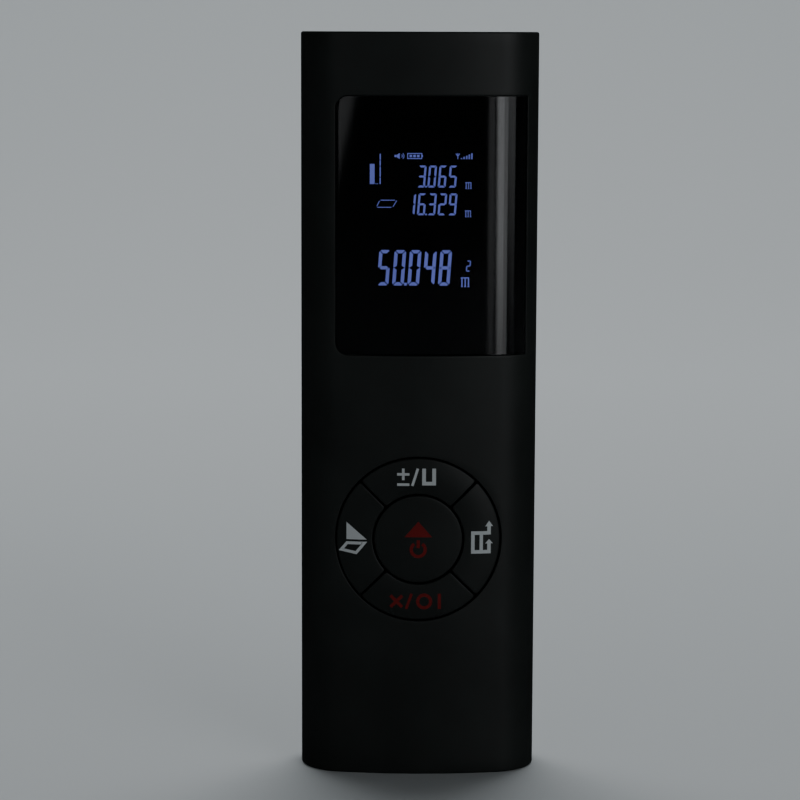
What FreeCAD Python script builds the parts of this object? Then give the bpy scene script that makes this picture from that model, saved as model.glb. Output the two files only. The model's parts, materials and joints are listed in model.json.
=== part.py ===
import FreeCAD, Part
import math
import os
from types import SimpleNamespace

import Sketcher
from FreeCAD import Placement, Rotation, Vector

# A slim pocket laser distance meter, standing on its lower end.
# Millimetres. +Z is up, the display faces -Y and +X is to the viewer's right.
# The origin is the middle of the lower end face.

DIMENSIONS = [
    # the extruded housing
    ("body_height", 115.0, "housing, end to end"),
    ("body_width", 36.6, "housing, side to side"),
    ("body_depth", 18.0, "housing, front to back"),
    ("face_radius", 66.0, "radius of the bowed front and back"),
    ("shoulder_radius", 7.0, "radius of the rounded sides"),
    ("wall", 1.4, "housing wall"),
    ("end_rounding", 0.35, "rounding of the housing's two ends"),
    # display window
    ("window_left_margin", 5.4, "housing's left side to the window's left edge"),
    ("window_right_margin", 1.8, "window's right edge to the housing's right side"),
    ("window_top_margin", 9.6, "window's upper edge to the housing's upper edge"),
    ("window_height", 39.6, "lower to upper edge"),
    ("window_corner", 1.9, "radius of the two left corners"),
    ("window_thickness", 0.8, "lens plate"),
    ("window_gap", 0.06, "lens plate to housing, all round"),
    ("window_ledge", 1.3, "ledge that the lens plate is taped to"),
    ("window_right_ledge", 3.7, "the same ledge at the right edge"),
    ("tape_thickness", 0.1, "adhesive tape"),
    # key wheel
    ("wheel_height", 37.3, "height of the wheel's centre"),
    ("wheel_radius", 12.9, "opening in the housing"),
    ("centre_key_radius", 6.8, "middle key"),
    ("key_gap", 0.28, "gap round and between the keys"),
    ("key_proud", 0.25, "crown of the keys above the housing"),
    ("key_lip", 1.0, "lip behind the housing wall"),
    ("key_length", 4.0, "front of the housing to the back of the keys"),
    ("key_skin", 1.2, "wall of a key cap"),
    ("key_travel", 0.4, "stroke of a key"),
    ("key_clearance", 0.05, "pressed key to the mat"),
    ("plunger_radius", 1.1, "post of a key"),
    # keypad
    ("mat_thickness", 0.4, "silicone mat"),
    ("mat_half_width", 14.0, "silicone mat"),
    ("mat_half_height", 14.6, "silicone mat"),
    ("nub_height", 0.31, "nubs of the mat"),
    ("dome_radius", 2.4, "snap dome"),
    ("dome_height", 0.34, "snap dome"),
    ("dome_thickness", 0.08, "snap dome"),
    # main board
    ("board_thickness", 1.0, "main board"),
    ("board_margin", 3.5, "side of the board to the side of the housing"),
    ("board_bottom", 3.4, "height of the board's lower edge"),
    ("board_short", 7.7, "board's upper edge below the bench's head"),
    # display
    ("lcd_centre", 0.3, "display centre, right of the centre line"),
    ("lcd_raise", 0.7, "display's middle above the window's middle"),
    ("lcd_width", 20.6, "display glass"),
    ("lcd_height", 29.0, "display glass"),
    ("glass_thickness", 0.5, "one display glass"),
    ("lcd_ledge", 2.0, "part of the rear glass left bare for the contacts"),
    ("film_thickness", 0.18, "polariser film"),
    ("guide_thickness", 0.9, "backlight plate"),
    ("lcd_setback", 2.3, "front of the housing to the front of the display"),
    ("frame_wall", 1.0, "display frame"),
    ("fit", 0.08, "clearance of a close fit"),
    # optics
    ("optics_offset", 3.7, "optical axes, behind the rear of the board"),
    ("receiver_side", 5.2, "receiving axis, right of the centre line"),
    ("laser_side", 7.6, "laser axis, left of the centre line"),
    ("bench_length", 25.7, "optical bench, foot to head"),
    ("bench_half_width", 12.8, "optical bench"),
    ("bench_off_board", 0.3, "rear of the board to the bench"),
    ("bench_off_back", 1.8, "bench to the rear wall"),
    ("gasket_height", 2.4, "foam gasket between bench and upper cap"),
    ("lens_radius", 4.8, "receiving lens"),
    ("lens_rim", 0.9, "receiving lens at its rim"),
    ("lens_curve", 9.0, "radius of the receiving lens's curved side"),
    ("collar_wall", 0.9, "lens collar of the bench"),
    ("collar_height", 6.0, "lens collar of the bench"),
    ("retainer_height", 0.8, "ring that holds the receiving lens"),
    ("barrel_radius", 2.9, "brass laser barrel"),
    ("barrel_bore", 1.8, "brass laser barrel"),
    ("barrel_length", 17.0, "brass laser barrel"),
    ("diode_flange", 2.7, "laser diode"),
    ("detector_size", 2.4, "photodiode package"),
    # end caps
    ("cap_thickness", 2.0, "end caps"),
    ("cap_recess", 0.3, "upper cap below the housing's edge"),
    ("cap_gap", 0.08, "end caps to housing"),
    ("receiver_window", 5.4, "radius of the receiving window"),
    ("receiver_window_thickness", 0.8, "receiving window"),
    ("emitter_window", 2.6, "radius of the laser window"),
    ("emitter_window_thickness", 0.55, "laser window"),
    ("emitter_aperture", 1.9, "radius of the laser aperture"),
    ("emitter_flare", 0.7, "flare of the laser aperture"),
    ("screw_radius", 0.8, "shank of the small screws"),
    ("screw_head", 1.35, "radius of the screw heads"),
    ("screw_head_height", 0.7, "screw heads"),
    ("screw_length", 5.0, "shank of the small screws"),
    ("screw_chamfer", 0.15, "edge of the screw heads"),
    ("screw_slot", 0.32, "width of the cross-shaped drive"),
    ("screw_slot_depth", 0.4, "depth of the cross-shaped drive"),
    ("screw_hole_gap", 0.1, "shank to its clearance hole"),
    ("screw_seat_gap", 0.15, "screw head to its seat, round it and above it"),
    ("cap_screw_margin", 4.4, "cap screws from the side of the housing"),
    # charging socket
    ("socket_width", 8.9, "metal shell"),
    ("socket_depth", 3.2, "metal shell, front to back"),
    ("socket_length", 7.3, "metal shell"),
    ("socket_wall", 0.3, "metal shell"),
    ("socket_inset", 0.5, "shell behind the lower end face"),
    ("port_gap", 0.25, "port opening round the shell"),
    ("sound_hole_radius", 0.4, "sound holes of the lower cap"),
    ("sound_hole_side", 7.4, "first sound hole, right of the centre line"),
    ("sound_hole_pitch", 1.5, "from one sound hole to the next"),
    # battery
    ("battery_width", 25.0, "pouch cell"),
    ("battery_height", 44.0, "pouch cell"),
    ("battery_thickness", 4.8, "pouch cell"),
    ("battery_bottom", 15.5, "height of the cell's lower edge"),
    ("battery_offset", 3.25, "rear of the board to the cell"),
    ("battery_rounding", 1.2, "edges of the pouch"),
    ("lead_radius", 0.35, "insulated battery leads"),
    ("lead_gap", 1.8, "between the two leads' centres"),
    ("lead_bend", 1.3, "bends of the leads"),
    ("connector_height", 3.4, "battery connector"),
    # chassis
    ("chassis_wall", 0.8, "inner chassis"),
    ("chassis_plate", 0.6, "plate between board and cell"),
    ("plate_gap", 0.15, "chassis plate to the cell"),
    ("chassis_short", 1.0, "chassis's upper edge below the bench's foot"),
    # rear label
    ("label_width", 20.0, "blank rear label"),
    ("label_height", 44.0, "blank rear label"),
    ("label_corner", 1.5, "label corners"),
    ("label_thickness", 0.15, "depth of the label's recess"),
    ("label_sunk", 0.03, "label film below the back"),
    ("label_gap", 0.05, "label to the edge of its recess"),
]


class Size:
    """A length: its number, and the sheet expression that gives it."""

    def __init__(self, value, text):
        self.value = value
        self.text = text

    def __add__(self, other):
        other = as_size(other)
        return Size(self.value + other.value, f"({self.text} + {other.text})")

    def __sub__(self, other):
        other = as_size(other)
        return Size(self.value - other.value, f"({self.text} - {other.text})")

    def __mul__(self, factor):
        factor = as_size(factor)
        return Size(self.value * factor.value, f"({self.text} * {factor.text})")

    def __truediv__(self, factor):
        factor = as_size(factor)
        return Size(self.value / factor.value, f"({self.text} / {factor.text})")

    def __neg__(self):
        return Size(-self.value, f"(0 - {self.text})")

    def root(self):
        return Size(math.sqrt(self.value), f"sqrt({self.text})")


def as_size(thing):
    if isinstance(thing, Size):
        return thing
    return Size(float(thing), str(float(thing)))


def make_sheet(document):
    """The driving sizes, one row each: a note, then the aliased number."""
    sheet = document.addObject("Spreadsheet::Sheet", "Dimensions")
    sizes = {}
    for row, (alias, value, note) in enumerate(DIMENSIONS, start=1):
        sheet.set(f"A{row}", note)
        sheet.set(f"B{row}", str(value))
        sheet.setAlias(f"B{row}", alias)
        sizes[alias] = Size(value, f"Dimensions.{alias}")
    return SimpleNamespace(**sizes)


doc = FreeCAD.newDocument("LaserDistanceMeter")
d = make_sheet(doc)
doc.recompute()

pieces = []


def bind(thing, **properties):
    """Ties each named property to its size; two underscores stand for a dot."""
    for name, size in properties.items():
        thing.setExpression(name.replace("__", "."), as_size(size).text)


def put(thing, x=0, y=0, z=0):
    bind(thing, Placement__Base__x=x, Placement__Base__y=y, Placement__Base__z=z)
    return thing


def piece(thing, name):
    """Marks a finished sub-part and gives it its name."""
    thing.Label = name
    pieces.append(thing)
    return thing


# ---------------------------------------------------------------- primitives


def block(name, x, y, z):
    """A box between two limits along each axis."""
    box = doc.addObject("Part::Box", name)
    bind(box, Length=as_size(x[1]) - x[0], Width=as_size(y[1]) - y[0], Height=as_size(z[1]) - z[0])
    return put(box, x[0], y[0], z[0])


def rod(name, radius, low, high, x=0, y=0):
    """An upright cylinder between two heights."""
    cylinder = doc.addObject("Part::Cylinder", name)
    bind(cylinder, Radius=radius, Height=as_size(high) - low)
    return put(cylinder, x, y, low)


def pin(name, radius, front, back, x=0, z=0):
    """A cylinder that runs from front to back."""
    cylinder = doc.addObject("Part::Cylinder", name)
    cylinder.Placement = Placement(Vector(), Rotation(Vector(1, 0, 0), -90))
    bind(cylinder, Radius=radius, Height=as_size(back) - front)
    return put(cylinder, x, front, z)


def cone(name, low_radius, high_radius, low, high, x=0, y=0):
    """An upright cone frustum between two heights."""
    frustum = doc.addObject("Part::Cone", name)
    bind(frustum, Radius1=low_radius, Radius2=high_radius, Height=as_size(high) - low)
    return put(frustum, x, y, low)


def ball(name, radius, x=0, y=0, z=0):
    sphere = doc.addObject("Part::Sphere", name)
    bind(sphere, Radius=radius)
    return put(sphere, x, y, z)


def fuse(name, *shapes):
    union = doc.addObject("Part::MultiFuse", name)
    union.Shapes = list(shapes)
    return union


def common(name, *shapes):
    overlap = doc.addObject("Part::MultiCommon", name)
    overlap.Shapes = list(shapes)
    return overlap


def cut(name, base, *tools):
    """Takes the tools away from the base."""
    tool = tools[0] if len(tools) == 1 else fuse(f"{name}_tools", *tools)
    difference = doc.addObject("Part::Cut", name)
    difference.Base = base
    difference.Tool = tool
    return difference


# ------------------------------------------------------------------ sketches


def new_sketch(body, role, name, offset=0):
    """A sketch on one of the body's own origin planes, moved along its normal."""
    sketch = body.newObject("Sketcher::SketchObject", name)
    plane = [feature for feature in body.Origin.OriginFeatures if feature.Role == role][0]
    sketch.AttachmentSupport = (plane, [""])
    sketch.MapMode = "FlatFace"
    bind(sketch, AttachmentOffset__Base__z=offset)
    return sketch


def hold(sketch, kind, *where):
    """Adds a sized constraint; the last argument is its size."""
    size = as_size(where[-1])
    index = sketch.addConstraint(Sketcher.Constraint(kind, *where[:-1], size.value))
    sketch.setExpression(f"Constraints[{index}]", size.text)


def pad(body, sketch, length):
    feature = body.newObject("PartDesign::Pad", f"{sketch.Name}_pad")
    feature.Profile = sketch
    bind(feature, Length=length)
    return feature


def arc(x, y, radius, start, end):
    circle = Part.Circle(Vector(x, y, 0), Vector(0, 0, 1), radius)
    return Part.ArcOfCircle(circle, start, end)


def draw_oval(sketch, inset):
    """The housing's section, drawn in by an inset: bowed front and back, rounded sides."""
    inset = as_size(inset)
    half_width = d.body_width / 2 - inset
    face = d.face_radius - inset
    shoulder = d.shoulder_radius - inset
    face_centre = d.face_radius - d.body_depth / 2
    shoulder_x = (d.body_width / 2 - d.shoulder_radius).value
    reach = (d.face_radius - d.shoulder_radius).value
    shoulder_y = math.sqrt(reach**2 - shoulder_x**2) - face_centre.value
    turn = math.atan2(shoulder_y + face_centre.value, shoulder_x)
    centre_y, x, big, small = face_centre.value, half_width.value, face.value, shoulder.value
    pi = math.pi
    sketch.addGeometry(arc(0, centre_y, big, turn - pi, -turn), False)
    sketch.addGeometry(arc(shoulder_x, -shoulder_y, small, -turn, 0), False)
    sketch.addGeometry(Part.LineSegment(Vector(x, -shoulder_y, 0), Vector(x, shoulder_y, 0)), False)
    sketch.addGeometry(arc(shoulder_x, shoulder_y, small, 0, turn), False)
    sketch.addGeometry(arc(0, -centre_y, big, turn, pi - turn), False)
    sketch.addGeometry(arc(-shoulder_x, shoulder_y, small, pi - turn, pi), False)
    sketch.addGeometry(Part.LineSegment(Vector(-x, shoulder_y, 0), Vector(-x, -shoulder_y, 0)), False)
    sketch.addGeometry(arc(-shoulder_x, -shoulder_y, small, pi, pi + turn), False)
    for edge in range(8):
        sketch.addConstraint(Sketcher.Constraint("Tangent", edge, 2, (edge + 1) % 8, 1))
    for edge, centre in ((0, face_centre), (4, -face_centre)):
        sketch.addConstraint(Sketcher.Constraint("PointOnObject", edge, 3, -2))
        hold(sketch, "DistanceY", edge, 3, centre)
        hold(sketch, "Radius", edge, face)
    for edge in (1, 3, 5, 7):
        hold(sketch, "Radius", edge, shoulder)
    for edge, side in ((2, half_width), (6, -half_width)):
        sketch.addConstraint(Sketcher.Constraint("Vertical", edge))
        hold(sketch, "DistanceX", edge, 1, side)


def oval_prism(name, inset, low, high):
    """The housing's section, drawn in by an inset, between two heights."""
    body = doc.addObject("PartDesign::Body", name)
    sketch = new_sketch(body, "XY_Plane", f"{name}_section", low)
    draw_oval(sketch, inset)
    pad(body, sketch, as_size(high) - low)
    return body


def draw_rectangle(sketch, across, up, radii):
    """A rectangle with one radius a corner, in turn from the lower left; 0 is a square one."""
    left, right = (as_size(limit) for limit in across)
    low, high = (as_size(limit) for limit in up)
    corners = [(left, low), (right, low), (right, high), (left, high)]
    ahead = [(1, 0), (0, 1), (-1, 0), (0, -1)]
    radii = [as_size(radius) for radius in radii]
    for side in range(4):
        here, there = corners[side], corners[(side + 1) % 4]
        (dx, dy), start, end = ahead[side], radii[side].value, radii[(side + 1) % 4].value
        first = Vector(here[0].value + dx * start, here[1].value + dy * start, 0)
        last = Vector(there[0].value - dx * end, there[1].value - dy * end, 0)
        sketch.addGeometry(Part.LineSegment(first, last), False)
        level = side % 2 == 0
        sketch.addConstraint(Sketcher.Constraint("Horizontal" if level else "Vertical", side))
        hold(sketch, "DistanceY" if level else "DistanceX", side, 1, here[1] if level else there[0])
    for side in range(4):
        before, radius = (side - 1) % 4, radii[side]
        if radius.value == 0:
            sketch.addConstraint(Sketcher.Constraint("Coincident", before, 2, side, 1))
            continue
        (dx, dy), (bx, by) = ahead[side], ahead[before]
        x = corners[side][0].value + (dx - bx) * radius.value
        y = corners[side][1].value + (dy - by) * radius.value
        begin = math.pi + side * math.pi / 2
        bend = sketch.addGeometry(arc(x, y, radius.value, begin, begin + math.pi / 2), False)
        sketch.addConstraint(Sketcher.Constraint("Tangent", before, 2, bend, 1))
        sketch.addConstraint(Sketcher.Constraint("Tangent", bend, 2, side, 1))
        hold(sketch, "Radius", bend, radius)


def panel(name, x, y, z, radii=(0, 0, 0, 0)):
    """A plate that faces the front, with its corner radii."""
    body = doc.addObject("PartDesign::Body", name)
    sketch = new_sketch(body, "XZ_Plane", f"{name}_outline", -as_size(y[1]))
    draw_rectangle(sketch, x, z, radii)
    pad(body, sketch, as_size(y[1]) - y[0])
    return body


def column(name, x, y, z, radii=(0, 0, 0, 0)):
    """An upright prism with its corner radii seen from above."""
    body = doc.addObject("PartDesign::Body", name)
    sketch = new_sketch(body, "XY_Plane", f"{name}_outline", z[0])
    draw_rectangle(sketch, x, y, radii)
    pad(body, sketch, as_size(z[1]) - z[0])
    return body


def draw_polygon(sketch, corners):
    """Straight edges through corners that are each held by their two sizes."""
    corners = [(as_size(x), as_size(y)) for x, y in corners]
    count = len(corners)
    for index, (x, y) in enumerate(corners):
        after = corners[(index + 1) % count]
        here = Vector(x.value, y.value, 0)
        there = Vector(after[0].value, after[1].value, 0)
        sketch.addGeometry(Part.LineSegment(here, there), False)
    for index, (x, y) in enumerate(corners):
        sketch.addConstraint(Sketcher.Constraint("Coincident", index, 2, (index + 1) % count, 1))
        hold(sketch, "DistanceX", index, 1, x)
        hold(sketch, "DistanceY", index, 1, y)


def turned(name, profile, rotation=None):
    """A profile of radius and height, turned about the height axis."""
    body = doc.addObject("PartDesign::Body", name)
    sketch = new_sketch(body, "XZ_Plane", f"{name}_profile")
    draw_polygon(sketch, profile)
    spin = body.newObject("PartDesign::Revolution", f"{name}_turn")
    spin.Profile = sketch
    spin.ReferenceAxis = (sketch, ["V_Axis"])
    spin.Angle = 360
    if rotation:
        body.Placement = Placement(Vector(), rotation)
    return body


# ------------------------------------------------------- places worked out


def face_at(x, inset=0):
    """Distance of the bowed face from the middle plane at a side distance, drawn in by an inset."""
    radius = d.face_radius - inset
    x = as_size(x)
    return (radius * radius - x * x).root() - (d.face_radius - d.body_depth / 2)


window_left = d.window_left_margin - d.body_width / 2
window_right = d.body_width / 2 - d.window_right_margin
window_top = d.body_height - d.window_top_margin
window_bottom = window_top - d.window_height
cap_top = d.body_height - d.cap_recess
cap_under = cap_top - d.cap_thickness
cap_screw_side = d.body_width / 2 - d.cap_screw_margin
bench_top = cap_under - d.gasket_height
bench_bottom = bench_top - d.bench_length
board_top = bench_top - d.board_short
board_half = d.body_width / 2 - d.board_margin
key_back = d.body_depth / 2 - d.key_length
mat_front = key_back - d.key_travel - d.key_clearance
dome_front = mat_front - d.mat_thickness - d.nub_height
board_front = dome_front - d.dome_height
board_rear = board_front - d.board_thickness
optics_back = d.optics_offset - board_rear
lcd_middle = window_bottom + d.window_height / 2 + d.lcd_raise
lcd_low = lcd_middle - d.lcd_height / 2
lcd_high = lcd_middle + d.lcd_height / 2
lcd_left = d.lcd_centre - d.lcd_width / 2
lcd_right = d.lcd_centre + d.lcd_width / 2
lcd_front = d.body_depth / 2 - d.lcd_setback
glass_front = lcd_front - d.film_thickness
glass_rear = glass_front - d.glass_thickness * 2
guide_front = glass_rear - d.film_thickness
guide_rear = guide_front - d.guide_thickness
socket_middle = board_rear - d.socket_depth / 2
collar_radius = d.lens_radius + d.collar_wall
key_outer = d.wheel_radius - d.key_gap
key_inner = d.centre_key_radius + d.key_gap
key_middle = (key_outer + key_inner) / 2
battery_front = d.battery_offset - board_rear
battery_rear = battery_front + d.battery_thickness
plate_rear = battery_front - d.plate_gap
plate_front = plate_rear - d.chassis_plate
chips_height = d.battery_bottom + d.battery_height + 11
lead_side = as_size(6.5)
connector_middle = chips_height - 7.6
connector_top = connector_middle + d.connector_height / 2

KEY_TURNS = {"key_unit": 0, "key_reference": 1, "key_off": 2, "key_area": 3}


def key_place(name):
    """Where a key's post stands: the middle key at the centre, the others round it."""
    if name not in KEY_TURNS:
        return as_size(0), d.wheel_height
    turn = KEY_TURNS[name] * math.pi / 2
    return key_middle * round(math.sin(turn)), d.wheel_height + key_middle * round(math.cos(turn))


# ------------------------------------------------------------------- housing


def make_sleeve():
    """The extruded housing with the lens recess, the display opening and the key opening."""
    outer = oval_prism("sleeve_outside", 0, 0, d.body_height)
    doc.recompute()
    plain = outer.Tip
    heights = (0, d.body_height.value)
    rims = [
        f"Edge{index}"
        for index, edge in enumerate(plain.Shape.Edges, start=1)
        if any(all(abs(v.Z - height) < 1e-6 for v in edge.Vertexes) for height in heights)
    ]
    rounding = outer.newObject("PartDesign::Fillet", "sleeve_ends")
    rounding.Base = (plain, rims)
    bind(rounding, Radius=d.end_rounding)
    inner = oval_prism("sleeve_inside", d.wall, -1, d.body_height + 1)
    recess_depth = d.window_thickness + d.tape_thickness
    recess = common("sleeve_recess", *window_layer("recess", 0, -1, recess_depth))
    ledge = d.window_ledge
    opening = panel(
        "sleeve_opening",
        (window_left + ledge, window_right - d.window_right_ledge),
        (-d.body_depth, 0),
        (window_bottom + ledge, window_top - ledge),
    )
    wheel = pin("sleeve_wheel", d.wheel_radius, -d.body_depth, 0, z=d.wheel_height)
    label = common("sleeve_label", *label_layer("label_recess", d.label_gap, -1, d.label_thickness))
    piece(cut("body_sleeve", outer, inner, recess, opening, wheel, label), "body_sleeve")


def window_layer(name, shrink, outside, inside):
    """What meets in the lens plate: its outline, and the layer between two depths."""
    shrink = as_size(shrink)
    corner = d.window_corner - shrink
    outline = panel(
        f"{name}_outline",
        (window_left + shrink, window_right - shrink),
        (-d.body_depth, 0),
        (window_bottom + shrink, window_top - shrink),
        (corner, 0, 0, corner),
    )
    low, high = window_bottom - 2, window_top + 2
    outer = oval_prism(f"{name}_outer", outside, low, high)
    inner = oval_prism(f"{name}_inner", inside, low - 1, high + 1)
    return outline, cut(f"{name}_layer", outer, inner)


def label_layer(name, grow, outside, inside):
    """What meets in the rear label: its outline, and the layer between two depths."""
    half_width = d.label_width / 2 + grow
    low = d.body_height / 2 - d.label_height / 2 - grow
    high = d.body_height / 2 + d.label_height / 2 + grow
    across, up = (-half_width, half_width), (low, high)
    outline = panel(f"{name}_outline", across, (0, d.body_depth), up, [d.label_corner] * 4)
    outer = oval_prism(f"{name}_outer", outside, low - 2, high + 2)
    inner = oval_prism(f"{name}_inner", inside, low - 3, high + 3)
    return outline, cut(f"{name}_layer", outer, inner)


def make_window():
    """The tinted lens plate that follows the housing's bow, and the tape that holds it."""
    gap, depth = d.window_gap, d.window_thickness
    piece(common("window_lens", *window_layer("lens", gap, 0, depth)), "window_lens")
    ring = common("tape_plate", *window_layer("tape", gap, depth, depth + d.tape_thickness))
    ledge = d.window_ledge
    hole = panel(
        "tape_hole",
        (window_left + ledge, window_right - d.window_right_ledge),
        (-d.body_depth, 0),
        (window_bottom + ledge, window_top - ledge),
    )
    piece(cut("window_tape", ring, hole), "window_tape")


def make_label():
    """A blank film in a shallow recess of the back."""
    film = label_layer("label", 0, d.label_sunk, d.label_thickness)
    piece(common("back_label", *film), "back_label")


# ---------------------------------------------------------------------- caps


def screw(name, x, y, head_top):
    """A small upright screw with its head up; the head has a cross-shaped drive."""
    under = head_top - d.screw_head_height
    profile = [
        (0, -d.screw_length),
        (d.screw_radius, -d.screw_length),
        (d.screw_radius, 0),
        (d.screw_head, 0),
        (d.screw_head, d.screw_head_height - d.screw_chamfer),
        (d.screw_head - d.screw_chamfer, d.screw_head_height),
        (0, d.screw_head_height),
    ]
    blank = turned(f"{name}_blank", profile)
    put(blank, x, y, under)
    arm, slot = d.screw_head * 0.6, d.screw_slot / 2
    drive = (head_top - d.screw_slot_depth, head_top + 1)
    left_right = block(f"{name}_slot", (x - arm, x + arm), (y - slot, y + slot), drive)
    front_back = block(f"{name}_cross", (x - slot, x + slot), (y - arm, y + arm), drive)
    return cut(name, blank, left_right, front_back)


def turn_over(name, thing, height):
    """A copy of a shape turned end over end about the X direction at a height."""
    copy = doc.addObject("Part::Compound", name)
    copy.Links = [thing]
    copy.Placement = Placement(Vector(), Rotation(Vector(1, 0, 0), 180))
    return put(copy, 0, 0, height)


def make_top_cap():
    """The upper end plate with the laser aperture and the seat of the receiving window."""
    plate = oval_prism("top_plate", d.wall + d.cap_gap, cap_under, cap_top)
    seat_floor = cap_top - d.receiver_window_thickness
    x, y = d.receiver_side, optics_back
    seat = rod("receiver_seat", d.receiver_window + d.fit, seat_floor, cap_top + 1, x, y)
    bore = rod("receiver_bore", d.lens_radius, cap_under - 1, cap_top, x, y)
    left, aperture, flare_depth = -d.laser_side, d.emitter_aperture, d.emitter_flare
    window_high = cap_under + d.emitter_window_thickness
    laser = rod("laser_bore", aperture, cap_under - 1, cap_top + 1, left, y)
    flare = cone("laser_flare", aperture, aperture + flare_depth, cap_top - flare_depth, cap_top, left, y)
    seat_under = rod("laser_seat", d.emitter_window + d.fit, cap_under - 1, window_high, left, y)
    hole_radius = d.screw_radius + d.screw_hole_gap
    seat_radius = d.screw_head + d.screw_seat_gap
    head = cap_top - d.screw_head_height - d.screw_seat_gap
    holes = []
    for side, name in ((-1, "left"), (1, "right")):
        place = cap_screw_side * side
        holes.append(rod(f"top_{name}_hole", hole_radius, cap_under - 1, cap_top, place, y))
        holes.append(rod(f"top_{name}_head", seat_radius, head, cap_top + 1, place, y))
    piece(cut("top_cap", plate, seat, bore, laser, flare, seat_under, *holes), "top_cap")
    piece(rod("receiver_window", d.receiver_window, seat_floor, cap_top, x, y), "receiver_window")
    piece(rod("emitter_window", d.emitter_window, cap_under, window_high, left, y), "emitter_window")


def make_bottom_cap():
    """The lower end plate with the charging port, the sound holes and two screw seats."""
    plate = oval_prism("bottom_plate", d.wall + d.cap_gap, 0, d.cap_thickness)
    across = d.socket_width / 2 + d.port_gap
    deep = d.socket_depth / 2 + d.port_gap
    corner = deep - 0.05
    middle, above = -socket_middle, d.cap_thickness + 1
    port = column("port", (-across, across), (middle - deep, middle + deep), (-1, above), [corner] * 4)
    hole_radius = d.screw_radius + d.screw_hole_gap
    seat_radius = d.screw_head + d.screw_seat_gap
    seat_depth = d.screw_head_height + d.screw_seat_gap
    holes = []
    for side, name in ((-1, "left"), (1, "right")):
        place = cap_screw_side * side
        holes.append(rod(f"bottom_{name}_hole", hole_radius, -1, above, place, optics_back))
        holes.append(rod(f"bottom_{name}_head", seat_radius, -1, seat_depth, place, optics_back))
    for step in range(3):
        place = d.sound_hole_side + d.sound_hole_pitch * step
        holes.append(rod(f"sound_hole_{step}", d.sound_hole_radius, -1, above, place, middle))
    piece(cut("bottom_cap", plate, port, *holes), "bottom_cap")


def make_cap_screws():
    """Four identical screws: two down through the upper cap, two up through the lower one."""
    y, sunk = optics_back, d.screw_seat_gap
    screws = []
    for side, name in ((-1, "left"), (1, "right")):
        place = cap_screw_side * side
        screws.append(screw(f"top_screw_{name}", place, y, cap_top - sunk))
        lower = screw(f"low_screw_{name}", place, -y, -sunk)
        screws.append(turn_over(f"low_screw_{name}_over", lower, 0))
    group = doc.addObject("Part::Compound", "cap_screws")
    group.Links = screws
    piece(group, "cap_screws")


# ---------------------------------------------------------------------- keys


def key_sector(name, turn, inner, outer, front, back):
    """A quarter of a ring, its two straight sides half a gap off the diagonals."""
    ring = cut(
        f"{name}_ring",
        pin(f"{name}_disc", outer, front, back, z=d.wheel_height),
        pin(f"{name}_eye", inner, as_size(front) - 1, as_size(back) + 1, z=d.wheel_height),
    )
    span = d.wheel_radius * 2
    wedge = doc.addObject("Part::Box", f"{name}_wedge")
    bind(wedge, Length=span, Width=d.body_depth, Height=span)
    angle = 45 - 90 * turn
    wedge.Placement = Placement(Vector(), Rotation(Vector(0, 1, 0), -angle))
    ahead = turn * math.pi / 2
    gap = d.key_gap / math.sqrt(2)
    put(wedge, gap * round(math.sin(ahead)), -d.body_depth, d.wheel_height + gap * round(math.cos(ahead)))
    return common(f"{name}_sector", ring, wedge)


def key_slices(name):
    """Three slices of the housing's section round the wheel: crowned, behind the wall, and hollow."""
    low, high = d.wheel_height - d.wheel_radius - 3, d.wheel_height + d.wheel_radius + 3
    crowned = oval_prism(f"{name}_crowned", -d.key_proud, low, high)
    behind = oval_prism(f"{name}_behind", d.wall + d.key_gap, low, high)
    hollow = oval_prism(f"{name}_hollow_limit", d.key_skin, low, high)
    return crowned, behind, hollow


def make_ring_key(name, turn):
    """One of the four outer keys: crowned cap, lip behind the wall, hollow with a post."""
    front, back = -d.body_depth, -key_back
    crowned, behind, hollow = key_slices(name)
    cap = common(f"{name}_cap", crowned, key_sector(f"{name}_top", turn, key_inner, key_outer, front, back))
    lip_outer = key_outer + d.key_lip
    lip = common(f"{name}_lip", behind, key_sector(f"{name}_under", turn, key_inner, lip_outer, front, back))
    skin = d.key_skin
    pocket_sector = key_sector(f"{name}_pocket", turn, key_inner + skin, key_outer - skin, front, back + 1)
    trim = block(f"{name}_trim", (-3, 3), (-d.body_depth, 0), (d.wheel_height - 20, d.wheel_height + 20))
    if turn % 2:
        trim = block(f"{name}_trim", (-20, 20), (-d.body_depth, 0), (d.wheel_height - 3, d.wheel_height + 3))
    pocket = common(f"{name}_hollow", hollow, pocket_sector, trim)
    x, z = key_place(name)
    post = pin(f"{name}_post", d.plunger_radius, back - 3, back, x, z)
    shell = cut(f"{name}_shell", fuse(f"{name}_solid", cap, lip), pocket)
    piece(fuse(name, shell, post), name)


def make_centre_key():
    """The round middle key: crowned cap, hollow with a post."""
    name, back = "key_measure", -key_back
    crowned, _, hollow = key_slices(name)
    disc = pin(f"{name}_disc", d.centre_key_radius, -d.body_depth, back, z=d.wheel_height)
    cap = common(f"{name}_cap", crowned, disc)
    inside = d.centre_key_radius - d.key_skin
    pocket = pin(f"{name}_pocket", inside, -d.body_depth, back + 1, z=d.wheel_height)
    shell = cut(f"{name}_shell", cap, common(f"{name}_hollow", hollow, pocket))
    post = pin(f"{name}_post", d.plunger_radius, back - 3, back, z=d.wheel_height)
    piece(fuse(name, shell, post), name)


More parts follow.
